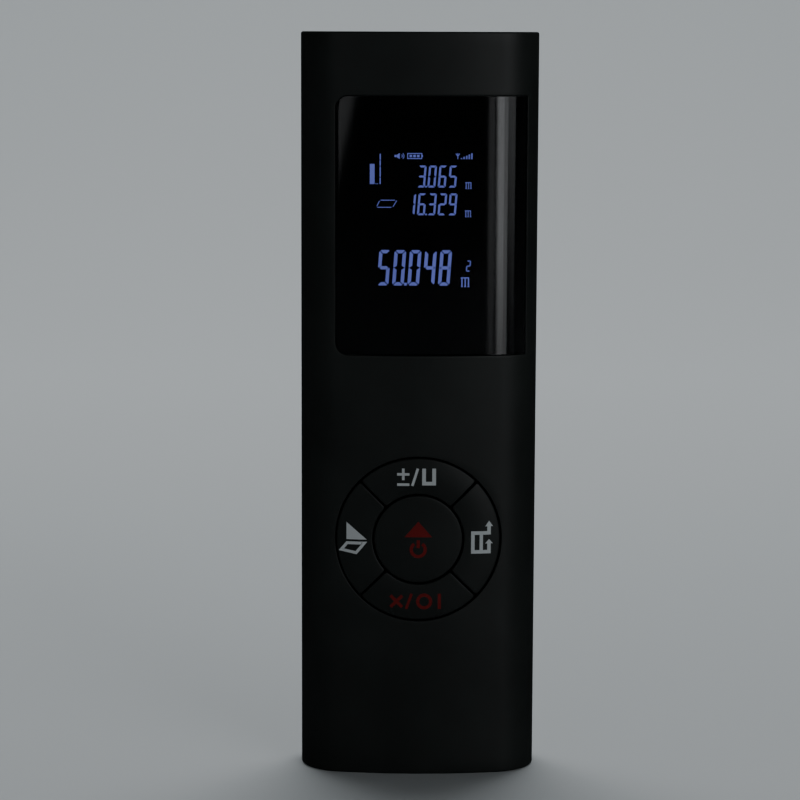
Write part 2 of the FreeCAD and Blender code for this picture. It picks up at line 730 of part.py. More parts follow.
def make_keypad():
    """The silicone mat with a nub behind each key, and a snap dome behind each nub."""
    front = -mat_front
    back = front + d.mat_thickness
    low, high = d.wheel_height - d.mat_half_height, d.wheel_height + d.mat_half_height
    sheet = panel("mat_sheet", (-d.mat_half_width, d.mat_half_width), (front, back), (low, high), [2] * 4)
    nubs = []
    for name in ("key_measure", *KEY_TURNS):
        x, z = key_place(name)
        nubs.append(pin(f"{name}_nub", d.plunger_radius, back, -dome_front, x, z))
        make_dome(name.replace("key", "dome"), x, z)
    piece(fuse("keypad_mat", sheet, *nubs), "keypad_mat")


def make_dome(name, x, z):
    """A snap dome: a shallow turned shell on the board."""
    thin = d.dome_thickness
    rise, crown = d.dome_height, d.dome_radius * 0.35
    profile = [
        (0, rise - thin),
        (crown, rise - thin),
        (d.dome_radius - thin, 0),
        (d.dome_radius, 0),
        (crown + thin, rise),
        (0, rise),
    ]
    dome = turned(name, profile, Rotation(Vector(1, 0, 0), 90))
    piece(put(dome, x, -board_front, z), name)


# --------------------------------------------------------------- main board


def make_board():
    """The long main board with its screw holes."""
    half = board_half
    front, back = -board_front, -board_rear
    plate = panel("board_plate", (-half, half), (front, back), (d.board_bottom, board_top), [1] * 4)
    holes = []
    for number, (x, z) in enumerate(board_screw_places()):
        holes.append(pin(f"board_hole_{number}", d.screw_radius + 0.1, front - 1, back + 1, x, z))
    piece(cut("main_board", plate, *holes), "main_board")


def board_screw_places():
    side = board_half - 2.4
    low = d.board_bottom + 4.6
    high = d.wheel_height + d.mat_half_height + 8
    return [(side * across, z) for z in (low, high) for across in (-1, 1)]


def make_board_screws():
    """Four identical screws through the board into the chassis."""
    profile = [
        (0, -3),
        (d.screw_radius, -3),
        (d.screw_radius, 0),
        (d.screw_head, 0),
        (d.screw_head, d.screw_head_height),
        (0, d.screw_head_height),
    ]
    screws = []
    for number, (x, z) in enumerate(board_screw_places()):
        one = turned(f"board_screw_{number}", profile, Rotation(Vector(1, 0, 0), 90))
        screws.append(put(one, x, -board_front, z))
    group = doc.addObject("Part::Compound", "board_screws")
    group.Links = screws
    piece(group, "board_screws")


def make_chip(name, x, z, width, height, thickness, rounding=0):
    """A package on the rear of the board."""
    x, z, half, rise = as_size(x), as_size(z), as_size(width) / 2, as_size(height) / 2
    rear = -board_rear
    across, up = (x - half, x + half), (z - rise, z + rise)
    piece(panel(name, across, (rear, rear + thickness), up, [rounding] * 4), name)


def make_electronics():
    """Packages on the rear of the board, above and below the cell."""
    above = chips_height
    make_chip("processor_chip", 1.5, above, 7, 7, 0.9)
    make_chip("laser_driver_chip", -8, above + 1, 4, 4, 0.8)
    make_chip("crystal_can", 9, above + 1.5, 3.2, 2.5, 0.7, 0.5)
    make_chip("charger_chip", -8.6, d.board_bottom + 5.2, 3, 3, 0.8)
    make_chip("power_inductor", -8.6, d.board_bottom + 9.8, 4, 4, 1.6, 0.8)
    make_chip("battery_connector", lead_side, connector_middle, 4.5, d.connector_height, 1.9)
    rear = -board_rear
    x, z = as_size(6.4), d.board_bottom + 8.6
    case = pin("buzzer_case", 3.9, rear, rear + 2.1, x, z)
    vent = pin("buzzer_vent", 0.7, rear + 1.4, rear + 3, x, z)
    piece(cut("buzzer", case, vent), "buzzer")


def make_socket():
    """The charging socket: a folded metal shell and the contact tongue inside it."""
    across, deep = d.socket_width / 2, d.socket_depth / 2
    low, high = d.socket_inset, d.socket_inset + d.socket_length
    middle, skin = -socket_middle, d.socket_wall
    outer_x, outer_y = (-across, across), (middle - deep, middle + deep)
    outside = column("socket_outside", outer_x, outer_y, (low, high), [deep - 0.05] * 4)
    inner_x, inner_y = across - skin, deep - skin
    inside = column(
        "socket_inside",
        (-inner_x, inner_x),
        (middle - inner_y, middle + inner_y),
        (low - 1, high - 0.8),
        [inner_y - 0.05] * 4,
    )
    piece(cut("socket_shell", outside, inside), "socket_shell")
    blade = block("socket_blade", (-3.3, 3.3), (middle - 0.35, middle + 0.35), (low + 0.9, high - 2))
    root_block = block("socket_root", (-3.4, 3.4), (middle - 1, middle + 1), (high - 2.2, high - 0.8))
    piece(fuse("socket_tongue", blade, root_block), "socket_tongue")


# ------------------------------------------------------------------- display


def make_display():
    """Polarisers, two glasses, backlight and frame, from front to back."""
    across, film, glass = (lcd_left, lcd_right), d.film_thickness, d.glass_thickness
    inset = 0.6
    seen = (lcd_left + inset, lcd_right - inset)
    low_seen = lcd_low + d.lcd_ledge + inset
    upper = (low_seen, lcd_high - inset)
    piece(block("lcd_front_polariser", seen, (-lcd_front, -glass_front), upper), "lcd_front_polariser")
    middle = -glass_front + glass
    guide_low = lcd_low + d.lcd_ledge
    full, short = (lcd_low, lcd_high), (guide_low, lcd_high)
    piece(block("lcd_front_glass", across, (-glass_front, middle), short), "lcd_front_glass")
    piece(block("lcd_rear_glass", across, (middle, -glass_rear), full), "lcd_rear_glass")
    piece(block("lcd_rear_polariser", seen, (-glass_rear, film - glass_rear), upper), "lcd_rear_polariser")
    piece(block("backlight_plate", across, (-guide_front, -guide_rear), short), "backlight_plate")
    make_display_frame()
    make_display_flex()
    lamps = []
    for number in range(3):
        x = d.lcd_centre + 5.0 * (number - 1)
        lamp_depth, lamp_height = (-guide_front + 0.1, -guide_rear), (guide_low - 0.9, guide_low - 0.05)
        lamps.append(block(f"lamp_{number}", (x - 1, x + 1), lamp_depth, lamp_height))
    group = doc.addObject("Part::Compound", "backlight_lamps")
    group.Links = lamps
    piece(group, "backlight_lamps")


def make_display_frame():
    """The white tray that carries the display on the board."""
    wall, gap = d.frame_wall, d.fit
    outer_x = (lcd_left - gap - wall, lcd_right + gap + wall)
    outer_z = (lcd_low - gap - wall, lcd_high + gap + wall)
    front, back = -glass_front + 0.2, -board_front
    tray = panel("frame_outside", outer_x, (front, back), outer_z, [0.8] * 4)
    inner_x = (lcd_left - gap, lcd_right + gap)
    inner_z = (lcd_low - gap, lcd_high + gap)
    hollow = panel("frame_inside", inner_x, (front - 1, -guide_rear), inner_z)
    mouth_height = (lcd_low - gap, lcd_low + d.lcd_ledge - 1)
    mouth = block("frame_mouth", (-6.2, 6.2), (-guide_rear - 0.5, 0), mouth_height)
    piece(cut("lcd_frame", tray, hollow, mouth), "lcd_frame")


def make_display_flex():
    """The printed lead from the bare ledge of the rear glass through the frame to the board."""
    film = 0.12
    front = -glass_rear
    back = -board_front
    body = doc.addObject("PartDesign::Body", "lcd_flex")
    sketch = new_sketch(body, "YZ_Plane", "flex_path", -5.4)
    low = lcd_low + 0.25
    draw_polygon(
        sketch,
        [
            (front, low),
            (front, low + 0.9),
            (front + film, low + 0.9),
            (front + film, low + film),
            (back - film, low + film),
            (back - film, low + 0.7),
            (back, low + 0.7),
            (back, low),
        ],
    )
    pad(body, sketch, 10.8)
    piece(body, "lcd_flex")


# -------------------------------------------------------------------- optics


def make_bench():
    """The rigid block that holds the laser barrel and the receiving lens in line."""
    x, y, left = d.receiver_side, optics_back, -d.laser_side
    half, foot, head = d.bench_half_width, bench_bottom, bench_top
    front = d.bench_off_board - board_rear
    back = d.body_depth / 2 - d.wall - d.bench_off_back
    core = block("bench_core", (-half, half), (front, back), (foot, head - d.collar_height))
    collar = rod("bench_collar", collar_radius, head - d.collar_height - 1, head, x, y)
    sleeve = rod("bench_sleeve", d.barrel_radius + 1, head - d.collar_height - 1, head - 1, left, y)
    ear = cap_screw_side + 1.7
    ears = block("bench_ears", (-ear, ear), (y - 1.7, y + 1.7), (head - d.collar_height + 0.6, head - 0.6))
    seat = head - d.retainer_height - 2.4
    lens_bore = rod("lens_bore", d.lens_radius + d.fit, seat, head + 1, x, y)
    funnel = cone("receiver_funnel", d.detector_size * 0.55, d.lens_radius - 0.6, foot + 1.4, seat, x, y)
    filter_seat = block("filter_seat", (x - 1.9, x + 1.9), (y - 1.9, y + 1.9), (foot - 1, foot + 1.5))
    barrel_bore = rod("barrel_bore", d.barrel_radius + 0.04, foot - 1, head + 1, left, y)
    pilot_low = head - d.collar_height - 2
    pilots = [
        rod(f"bench_pilot_{name}", d.screw_radius, pilot_low, head + 1, cap_screw_side * side, y)
        for side, name in ((-1, "left"), (1, "right"))
    ]
    body = fuse("bench_body", core, collar, sleeve, ears)
    piece(cut("optical_bench", body, lens_bore, funnel, filter_seat, barrel_bore, *pilots), "optical_bench")


def make_receiver():
    """Receiving lens, its ring and gasket, and the filter and photodiode at its focus."""
    x, y, head = d.receiver_side, optics_back, bench_top
    seat = head - d.retainer_height - 2.4
    crown = (d.lens_curve * d.lens_curve - d.lens_radius * d.lens_radius).root()
    disc = rod("lens_disc", d.lens_radius, seat, seat + 4, x, y)
    curve = ball("lens_ball", d.lens_curve, x, y, seat + d.lens_rim - crown)
    piece(common("receiver_lens", disc, curve), "receiver_lens")
    ring_low = seat + d.lens_rim + 1.35
    ring = rod("ring_outside", d.lens_radius + 0.02, ring_low, head, x, y)
    hole = rod("ring_hole", d.lens_radius - 0.7, ring_low - 1, head + 1, x, y)
    piece(cut("lens_ring", ring, hole), "lens_ring")
    foam = rod("gasket_outside", collar_radius, head + 0.02, cap_under - 0.02, x, y)
    eye = rod("gasket_hole", d.lens_radius, head - 1, cap_under + 1, x, y)
    piece(cut("receiver_gasket", foam, eye), "receiver_gasket")
    foot, half = bench_bottom, d.detector_size / 2
    chip_high = foot + 0.9
    pane = block("receiver_filter", (x - 1.8, x + 1.8), (y - 1.8, y + 1.8), (chip_high, chip_high + 0.5))
    piece(pane, "receiver_filter")
    chip = block("detector_chip", (x - half, x + half), (y - half, y + half), (foot, chip_high))
    piece(chip, "detector_chip")
    piece(block("detector_board", (x - 5, x + 5), (y - 2.9, y + 4.2), (foot - 0.8, foot)), "detector_board")
    can = block("shield_can", (x - 4, x + 4), (y - 2.6, y + 3.6), (foot - 3, foot - 0.8))
    hollow = block("shield_hollow", (x - 3.75, x + 3.75), (y - 2.35, y + 3.35), (foot - 2.75, foot - 0.7))
    piece(cut("detector_shield", can, hollow), "detector_shield")


def make_laser():
    """Brass barrel with the laser diode at its lower end and the collimating lens at its upper end."""
    x, y = -d.laser_side, optics_back
    high = bench_top - 0.6
    low = high - d.barrel_length
    bore, flange = d.barrel_bore, d.diode_flange
    barrel = turned(
        "laser_barrel",
        [
            (bore - 0.5, d.barrel_length),
            (bore - 0.5, d.barrel_length - 0.8),
            (bore, d.barrel_length - 0.8),
            (bore, 2.6),
            (flange + 0.03, 2.6),
            (flange + 0.03, 0),
            (d.barrel_radius, 0),
            (d.barrel_radius, d.barrel_length),
        ],
    )
    piece(put(barrel, x, y, low), "laser_barrel")
    diode = turned(
        "laser_diode",
        [(0, 0), (flange, 0), (flange, 1.2), (1.75, 1.2), (1.75, 3.6), (0, 3.6)],
    )
    piece(put(diode, x, y, low + 1.4), "laser_diode")
    lens_top = high - 0.8
    disc = rod("collimator_disc", bore, lens_top - 2, lens_top, x, y)
    curve = ball("collimator_ball", 3.2, x, y, lens_top - 3.2)
    piece(common("collimator_lens", disc, curve), "collimator_lens")
    spacer_low, spacer_high = low + 5.0, lens_top - 2
    outside = rod("tube_outside", bore, spacer_low, spacer_high, x, y)
    inside = rod("tube_inside", bore - 0.45, spacer_low - 1, spacer_high + 1, x, y)
    piece(cut("collimator_spacer", outside, inside), "collimator_spacer")
    piece(rod("laser_board", d.diode_flange, low - 1.4, low - 0.6, x, y), "laser_board")


# ------------------------------------------------------- battery and chassis


def make_battery():
    """The pouch cell with its rounded edges, and the foam pad behind it."""
    half = d.battery_width / 2
    low, high = d.battery_bottom, d.battery_bottom + d.battery_height
    depth, corners = (battery_front, battery_rear), [d.battery_rounding] * 4
    piece(panel("battery_cell", (-half, half), depth, (low, high), corners), "battery_cell")
    pad_half = half - 4
    back = face_at(pad_half, d.wall) - 0.25
    foam = block("battery_foam", (-pad_half, pad_half), (battery_rear + 0.02, back), (low + 5, high - 5))
    piece(foam, "battery_foam")


def make_chassis():
    """The inner chassis: side walls, plate between board and cell, end shelves and screw bosses."""
    wall = d.chassis_wall
    outer = board_half + d.fit + wall
    inner = outer - wall
    low, high = d.cap_thickness + 0.1, bench_bottom - d.chassis_short
    depth = (-board_front - 0.3, plate_rear + 2.4)
    left = block("chassis_left", (-outer, -inner), depth, (low, high))
    right = block("chassis_right", (inner, outer), depth, (low, high))
    floor = block(
        "chassis_floor",
        (-outer, outer),
        (plate_front, plate_rear),
        (d.battery_bottom - 1, bench_bottom - 3.4),
    )
    shelf_depth = (plate_front, battery_rear)
    shelf_low = d.battery_bottom - 1.2
    shelf = block("chassis_shelf", (-outer, outer), shelf_depth, (shelf_low, shelf_low + wall))
    upper_low = d.battery_bottom + d.battery_height + 0.4
    upper = block("chassis_upper_shelf", (-outer, outer), shelf_depth, (upper_low, upper_low + wall))
    bosses = []
    for number, (x, z) in enumerate(board_screw_places()):
        bosses.append(pin(f"chassis_boss_{number}", 1.7, -board_rear, plate_rear, x, z))
    feet = []
    for side, name in ((-1, "left"), (1, "right")):
        x = cap_screw_side * side
        feet.append(rod(f"chassis_foot_{name}", 1.9, low, low + 6.4, x, optics_back))
    body = fuse("chassis_body", left, right, floor, shelf, upper, *bosses, *feet)
    pilots = []
    for number, (x, z) in enumerate(board_screw_places()):
        behind = plate_rear + 1
        pilots.append(pin(f"chassis_pilot_{number}", d.screw_radius, -board_rear - 1, behind, x, z))
    for side, name in ((-1, "left"), (1, "right")):
        x = cap_screw_side * side
        pilots.append(rod(f"foot_pilot_{name}", d.screw_radius, low - 1, low + 5.4, x, optics_back))
    keep_off = oval_prism("chassis_limit", d.wall + 0.15, low, high + 1)
    trimmed = common("chassis_trimmed", body, keep_off)
    slot = d.lead_gap / 2 + d.lead_radius + 0.7
    slot_depth, slot_height = (plate_front - 1, battery_rear + 1), (upper_low - 1, connector_top + 6)
    lead_slot = block("lead_slot", (lead_side - slot, lead_side + slot), slot_depth, slot_height)
    piece(cut("inner_chassis", trimmed, lead_slot, *pilots), "inner_chassis")


def make_leads():
    """The cell's two leads: up from the cell, forward through the chassis and down to the connector."""
    cell_top = d.battery_bottom + d.battery_height
    bend = cell_top + 8.1
    behind = battery_front + d.battery_thickness / 2
    before = d.lead_radius + 0.6 - board_rear
    for side, name in ((-1, "battery_lead_red"), (1, "battery_lead_black")):
        x = lead_side + d.lead_gap / 2 * side
        route = [(behind, cell_top), (behind, bend), (before, bend), (before, connector_top)]
        points = [Vector(x.value, y.value, z.value) for y, z in route]
        lead = doc.addObject("Part::Feature", name)
        lead.Shape = bent_tube(points, d.lead_bend.value, d.lead_radius.value)
        piece(lead, name)


def bent_tube(points, bend, half_thickness):
    """A round lead along straight runs joined by tangent arcs."""
    edges = []
    here = points[0]
    for before, corner, after in zip(points, points[1:], points[2:]):
        back = (before - corner).normalize()
        ahead = (after - corner).normalize()
        turn = math.pi - back.getAngle(ahead)
        reach = bend * math.tan(turn / 2)
        start, end = corner + back * reach, corner + ahead * reach
        inward = (back + ahead).normalize()
        middle = corner + inward * (bend / math.cos(turn / 2) - bend)
        edges.append(Part.LineSegment(here, start).toShape())
        edges.append(Part.Arc(start, middle, end).toShape())
        here = end
    edges.append(Part.LineSegment(here, points[-1]).toShape())
    path = Part.Wire(edges)
    direction = (points[1] - points[0]).normalize()
    ring = Part.Wire([Part.makeCircle(half_thickness, points[0], direction)])
    return path.makePipeShell([ring], True, False)


def build():
    make_sleeve()
    make_window()
    make_label()
    make_top_cap()
    make_bottom_cap()
    make_cap_screws()
    for name, turn in KEY_TURNS.items():
        make_ring_key(name, turn)
    make_centre_key()
    make_keypad()
    make_board()
    make_board_screws()
    make_electronics()
    make_socket()
    make_display()
    make_bench()
    make_receiver()
    make_laser()
    make_battery()
    make_chassis()
    make_leads()
    doc.recompute()


def check():
    """Stops if any object failed to build or any sub-part isn't a sound solid."""
    for thing in doc.Objects:
        if {"Invalid", "Error"} & set(thing.State):
            raise RuntimeError(f"{thing.Name} did not build: {thing.State}")
    for thing in pieces:
        if thing.Shape.isNull() or not thing.Shape.isValid():
            raise RuntimeError(f"{thing.Label} has no sound shape")
        if not thing.Shape.Solids:
            raise RuntimeError(f"{thing.Label} has no solid")


def export():
    os.makedirs("parts", exist_ok=True)
    for thing in pieces:
        thing.Shape.exportStep(f"parts/{thing.Label}.step")
        print(f"{thing.Label}: {len(thing.Shape.Solids)} solid, {thing.Shape.Volume:.2f} mm3")


build()
check()
export()
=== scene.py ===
"""A pocket laser distance meter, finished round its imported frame.

Lengths are metres, +Z is up and the display faces -Y.
"""

import json
import math

import bmesh
import bpy
import numpy as np
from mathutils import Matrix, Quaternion, Vector


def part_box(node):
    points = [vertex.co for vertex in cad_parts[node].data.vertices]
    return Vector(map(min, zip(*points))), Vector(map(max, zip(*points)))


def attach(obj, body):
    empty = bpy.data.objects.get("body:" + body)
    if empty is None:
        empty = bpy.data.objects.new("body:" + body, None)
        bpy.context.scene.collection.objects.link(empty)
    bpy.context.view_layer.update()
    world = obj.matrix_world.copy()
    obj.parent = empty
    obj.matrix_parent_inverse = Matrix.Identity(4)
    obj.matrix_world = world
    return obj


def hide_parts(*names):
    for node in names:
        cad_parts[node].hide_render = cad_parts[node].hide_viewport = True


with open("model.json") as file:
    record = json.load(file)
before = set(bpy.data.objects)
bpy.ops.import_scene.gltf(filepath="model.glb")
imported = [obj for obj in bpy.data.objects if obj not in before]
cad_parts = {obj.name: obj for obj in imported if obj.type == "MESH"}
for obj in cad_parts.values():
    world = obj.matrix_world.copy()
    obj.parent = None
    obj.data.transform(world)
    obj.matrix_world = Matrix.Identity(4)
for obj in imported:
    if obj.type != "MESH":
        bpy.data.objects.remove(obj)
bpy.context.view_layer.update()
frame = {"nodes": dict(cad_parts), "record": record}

bl_info = {
    "name": "Laser distance meter",
    "version": (1, 0, 0),
    "blender": (4, 5, 0),
    "location": "View3D > Sidebar > Meter",
    "description": "Housing, window, keys, display, finishes and stage of a pocket laser distance meter",
    "category": "Object",
}

MM = 0.001

SLEEVE_LOW, SLEEVE_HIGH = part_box("body_sleeve")
LENS_LOW, LENS_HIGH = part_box("window_lens")
CENTRE_LOW, CENTRE_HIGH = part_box("key_measure")
POLARISER_LOW, POLARISER_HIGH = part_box("lcd_front_polariser")
LABEL_LOW, LABEL_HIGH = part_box("back_label")

WIDTH = SLEEVE_HIGH.x - SLEEVE_LOW.x
HEIGHT = SLEEVE_HIGH.z - SLEEVE_LOW.z
DEPTH = 2 * SLEEVE_HIGH.y
WHEEL_Z = (CENTRE_LOW.z + CENTRE_HIGH.z) / 2
CENTRE_RADIUS = (CENTRE_HIGH.x - CENTRE_LOW.x) / 2
KEY_BACK = CENTRE_HIGH.y

# ------------------------------------------------------------------ settings


def length(name, description, default):
    """A size in metres."""
    return bpy.props.FloatProperty(
        name=name,
        description=description,
        default=default,
        min=0.0,
        precision=5,
        subtype="DISTANCE",
        unit="LENGTH",
    )


def colour(name, description, default):
    """A linear colour of three parts."""
    return bpy.props.FloatVectorProperty(
        name=name, description=description, default=default, min=0.0, max=1.0, size=3, subtype="COLOR"
    )


def share(name, description, default):
    """A plain ratio."""
    return bpy.props.FloatProperty(
        name=name, description=description, default=default, min=0.0, subtype="FACTOR"
    )


def degrees(name, description, default):
    """An angle, given here in degrees and kept in radians."""
    return bpy.props.FloatProperty(
        name=name, description=description, default=math.radians(default), subtype="ANGLE"
    )


class HousingSettings(bpy.types.PropertyGroup):
    """Sizes of the extruded housing"""

    face_radius: length("Face radius", "Radius of the bowed front and back", 66 * MM)
    shoulder_radius: length("Shoulder radius", "Radius of the rounded sides", 7 * MM)
    wall: length("Wall", "Thickness of the housing wall", 1.4 * MM)
    end_round: length("End rounding", "Rounding of the two end edges", 0.35 * MM)
    edge_round: length("Opening rounding", "Rounding of the edges of the openings", 0.1 * MM)


class WindowSettings(bpy.types.PropertyGroup):
    """Sizes of the display window"""

    gap: length("Gap", "Gap between the lens plate and the housing", 0.06 * MM)
    corner: length("Corner", "Radius of the two left corners", 1.9 * MM)
    square: length("Square corner", "Radius of the two right corners", 0.2 * MM)
    thickness: length("Thickness", "Thickness of the lens plate", 0.8 * MM)
    edge: length("Edge", "Rounding of the lens plate's edge", 0.1 * MM)
    ledge: length("Ledge", "Width of the ledge behind the lens plate", 1.3 * MM)
    right_ledge: length("Right ledge", "Width of the ledge at the right edge", 3.7 * MM)


class WheelSettings(bpy.types.PropertyGroup):
    """Sizes of the key wheel"""

    radius: length("Opening", "Radius of the round opening in the housing", 12.9 * MM)
    gap: length("Gap", "Gap round and between the keys", 0.28 * MM)
    crown: length("Crown", "Height of the ring's crown above its rims", 0.23 * MM)
    sink: length("Sink", "Depth of the key rims below the housing's face", 0.04 * MM)
    edge: length("Edge", "Rounding of the key edges", 0.18 * MM)
    corner: length("Corner", "Radius of the corners of the ring keys", 0.35 * MM)
    dome: length("Dome", "Rise of the middle key at its centre", 0.08 * MM)
    ink: length("Ink", "Height of the printed signs above the keys", 0.012 * MM)
    stroke: length("Stroke", "Width of the printed lines", 0.5 * MM)


class DisplaySettings(bpy.types.PropertyGroup):
    """Sizes of the lit segments"""

    small_height: length("Small digits", "Height of the two upper rows' digits", 3.35 * MM)
    small_width: length("Small digit width", "Width of the upper rows' digits", 1.2 * MM)
    small_pitch: length("Small digit pitch", "Step from digit to digit in the upper rows", 1.57 * MM)
    small_stroke: length("Small stroke", "Width of the upper rows' segments", 0.31 * MM)
    large_height: length("Large digits", "Height of the lower row's digits", 5.45 * MM)
    large_width: length("Large digit width", "Width of the lower row's digits", 1.78 * MM)
    large_pitch: length("Large digit pitch", "Step from digit to digit in the lower row", 2.33 * MM)
    large_stroke: length("Large stroke", "Width of the lower row's segments", 0.52 * MM)
    slant: share("Slant", "Sideways lean of the digits for each unit of height", 0.08)


class FinishSettings(bpy.types.PropertyGroup):
    """Colours and gloss"""

    housing: colour("Housing", "Colour of the housing", (0.0155, 0.0185, 0.0172))
    keys: colour("Keys", "Colour of the keys", (0.0150, 0.0180, 0.0168))
    window: colour("Window", "Tint of the lens plate", (0.20, 0.21, 0.22))
    segments: colour("Segments", "Light of the display's segments", (0.275, 0.315, 1.0))
    segment_power: share("Segment light", "Strength of the display's light", 1.9)
    white_ink: colour("White ink", "Colour of the white signs", (0.58, 0.61, 0.62))
    red_ink: colour("Red ink", "Colour of the red signs", (0.17, 0.012, 0.012))
    housing_gloss: share("Housing roughness", "Roughness of the housing and keys", 0.45)


class StageSettings(bpy.types.PropertyGroup):
    """Camera and light"""

    camera_distance: length("Camera distance", "From the camera to the meter, along the floor", 416 * MM)
    camera_side: length("Camera side", "From the camera to the meter's centre line, sideways", 3.09 * MM)
    camera_pitch: degrees("Pitch", "How far the camera looks down", 7.83)
    camera_roll: degrees("Roll", "Turn of the camera about its view", -0.2)
    focal_length: bpy.props.FloatProperty(
        name="Focal length", description="Lens, in millimetres on a 36 mm frame", default=120.6
    )
    paper: colour("Paper", "Colour of the floor and backdrop", (0.62, 0.65, 0.66))


def settings(name):
    """The scene's own group of values by its short name."""
    return getattr(bpy.context.scene, f"meter_{name}")


# ------------------------------------------------------------------ surfaces


class Section:
    """The housing's oval section by arc length from the middle of the front, positive to the right.

    A quarter is an arc of the face radius about a centre behind the middle plane, then a tangent arc of the
    shoulder radius, then half the straight side. The other quarters are its mirror images.
    """

    def __init__(self):
        sizes = settings("housing")
        self.face = sizes.face_radius
        self.shoulder = sizes.shoulder_radius
        self.centre = self.face - DEPTH / 2
        self.shoulder_x = WIDTH / 2 - self.shoulder
        reach = self.face - self.shoulder
        self.turn = math.asin(self.shoulder_x / reach)
        self.shoulder_y = self.centre - reach * math.cos(self.turn)
        self.face_arc = self.face * self.turn
        self.shoulder_arc = self.shoulder * (math.pi / 2 - self.turn)
        self.quarter = self.face_arc + self.shoulder_arc - self.shoulder_y
        self.whole = 4 * self.quarter

    def at(self, s, depth=0.0):
        """Side and depth of the points at arc length s, drawn in along the normal by depth."""
        s = np.asarray(s, float)
        side = np.where(s < 0, -1.0, 1.0)
        run = np.abs(s)
        behind = run > self.quarter
        run = np.where(behind, 2 * self.quarter - run, run)
        on_face = run <= self.face_arc
        on_side = run > self.face_arc + self.shoulder_arc
        bend = np.where(on_face, run / self.face, self.turn + (run - self.face_arc) / self.shoulder)
        bend = np.where(on_side, math.pi / 2, bend)
        sine, cosine = np.sin(bend), np.cos(bend)
        x = np.where(on_face, self.face * sine, self.shoulder_x + self.shoulder * sine)
        y = np.where(on_face, self.centre - self.face * cosine, self.shoulder_y - self.shoulder * cosine)
        y = y + np.where(on_side, run - self.face_arc - self.shoulder_arc, 0.0)
        x = x - depth * sine
        y = y + depth * cosine
        return side * x, np.where(behind, -y, y)

    def arc(self, x):
        """Arc length on the front at a distance x from the centre line."""
        x = np.asarray(x, float)
        run = np.abs(x)
        face = self.face * np.arcsin(np.clip(run / self.face, 0, 1))
        bend = np.arcsin(np.clip((run - self.shoulder_x) / self.shoulder, -1, 1))
        shoulder = self.face_arc + self.shoulder * (bend - self.turn)
        return np.sign(x) * np.where(run <= self.face * math.sin(self.turn), face, shoulder)

    def skin(self, s, z, depth=0.0):
        """Points at arc length s and height z, drawn in by depth."""
        s, z, depth = np.broadcast_arrays(s, z, depth)
        x, y = self.at(s, depth)
        return np.stack([x, y, z], axis=-1)

    def face_y(self, x):
        """Place of the bowed front at a distance x from the centre line."""
        return self.centre - np.sqrt(self.face**2 - np.asarray(x, float) ** 2)


class Surface:
    """Collects grids of points and makes them one mesh of quads, with shared edges merged."""

    MERGE, DEGENERATE = 0.0004 * MM, 0.0001 * MM

    def __init__(self):
        self.points = []
        self.faces = []
        self.count = 0

    def grid(self, points, closed=False):
        """Adds rows x columns x 3 points; closed joins the last column to the first."""
        rows, columns = points.shape[:2]
        index = np.arange(rows * columns).reshape(rows, columns) + self.count
        here = index if closed else index[:, :-1]
        beside = np.roll(index, -1, axis=1) if closed else index[:, 1:]
        quads = np.stack([here[:-1], beside[:-1], beside[1:], here[1:]], axis=-1)
        self.points.append(points.reshape(-1, 3))
        self.faces.append(quads.reshape(-1, 4))
        self.count += rows * columns

    def make(self, name, material, body="housing", slot=None, stands_for=(), sharp=35.0):
        """Merges doubles, points the faces outwards, and puts the piece on its body."""
        points, faces = np.concatenate(self.points), np.concatenate(self.faces)
        mesh = bpy.data.meshes.new(name)
        mesh.from_pydata(points.tolist(), [], faces.tolist())
        shape = bmesh.new()
        shape.from_mesh(mesh)
        bmesh.ops.remove_doubles(shape, verts=shape.verts, dist=self.MERGE)
        bmesh.ops.dissolve_degenerate(shape, edges=shape.edges, dist=self.DEGENERATE)
        bmesh.ops.recalc_face_normals(shape, faces=shape.faces)
        shape.to_mesh(mesh)
        shape.free()
        mesh.shade_smooth()
        mesh.set_sharp_from_angle(angle=math.radians(sharp))
        mesh.materials.append(material)
        piece = bpy.data.objects.new(name, mesh)
        bpy.context.scene.collection.objects.link(piece)
        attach(piece, body)
        if stands_for:
            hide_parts(*stands_for)
        return piece


def clustered(count):
    """Numbers from 0 to 1, closer together near both ends: half of one minus the cosine."""
    return (1 - np.cos(np.linspace(0, math.pi, count))) / 2


def perimeter(grid):
    """The outside of a grid, once round."""
    return np.concatenate([grid[0, :-1], grid[:-1, -1], grid[-1, :0:-1], grid[:0:-1, 0]])


def box_corners(low, high):
    """Corners of a rectangle, from the lower left one through the lower right one."""
    return np.array([(low[0], low[1]), (high[0], low[1]), (high[0], high[1]), (low[0], high[1])])


def rectangle_loop(low, high, per_side):
    """Evenly spaced points round a rectangle, from its lower left corner through its lower right one."""
    step = np.arange(per_side)[:, None] / per_side
    corners = box_corners(low, high)
    after = np.roll(corners, -1, axis=0)
    return np.concatenate([here + (there - here) * step for here, there in zip(corners, after)])


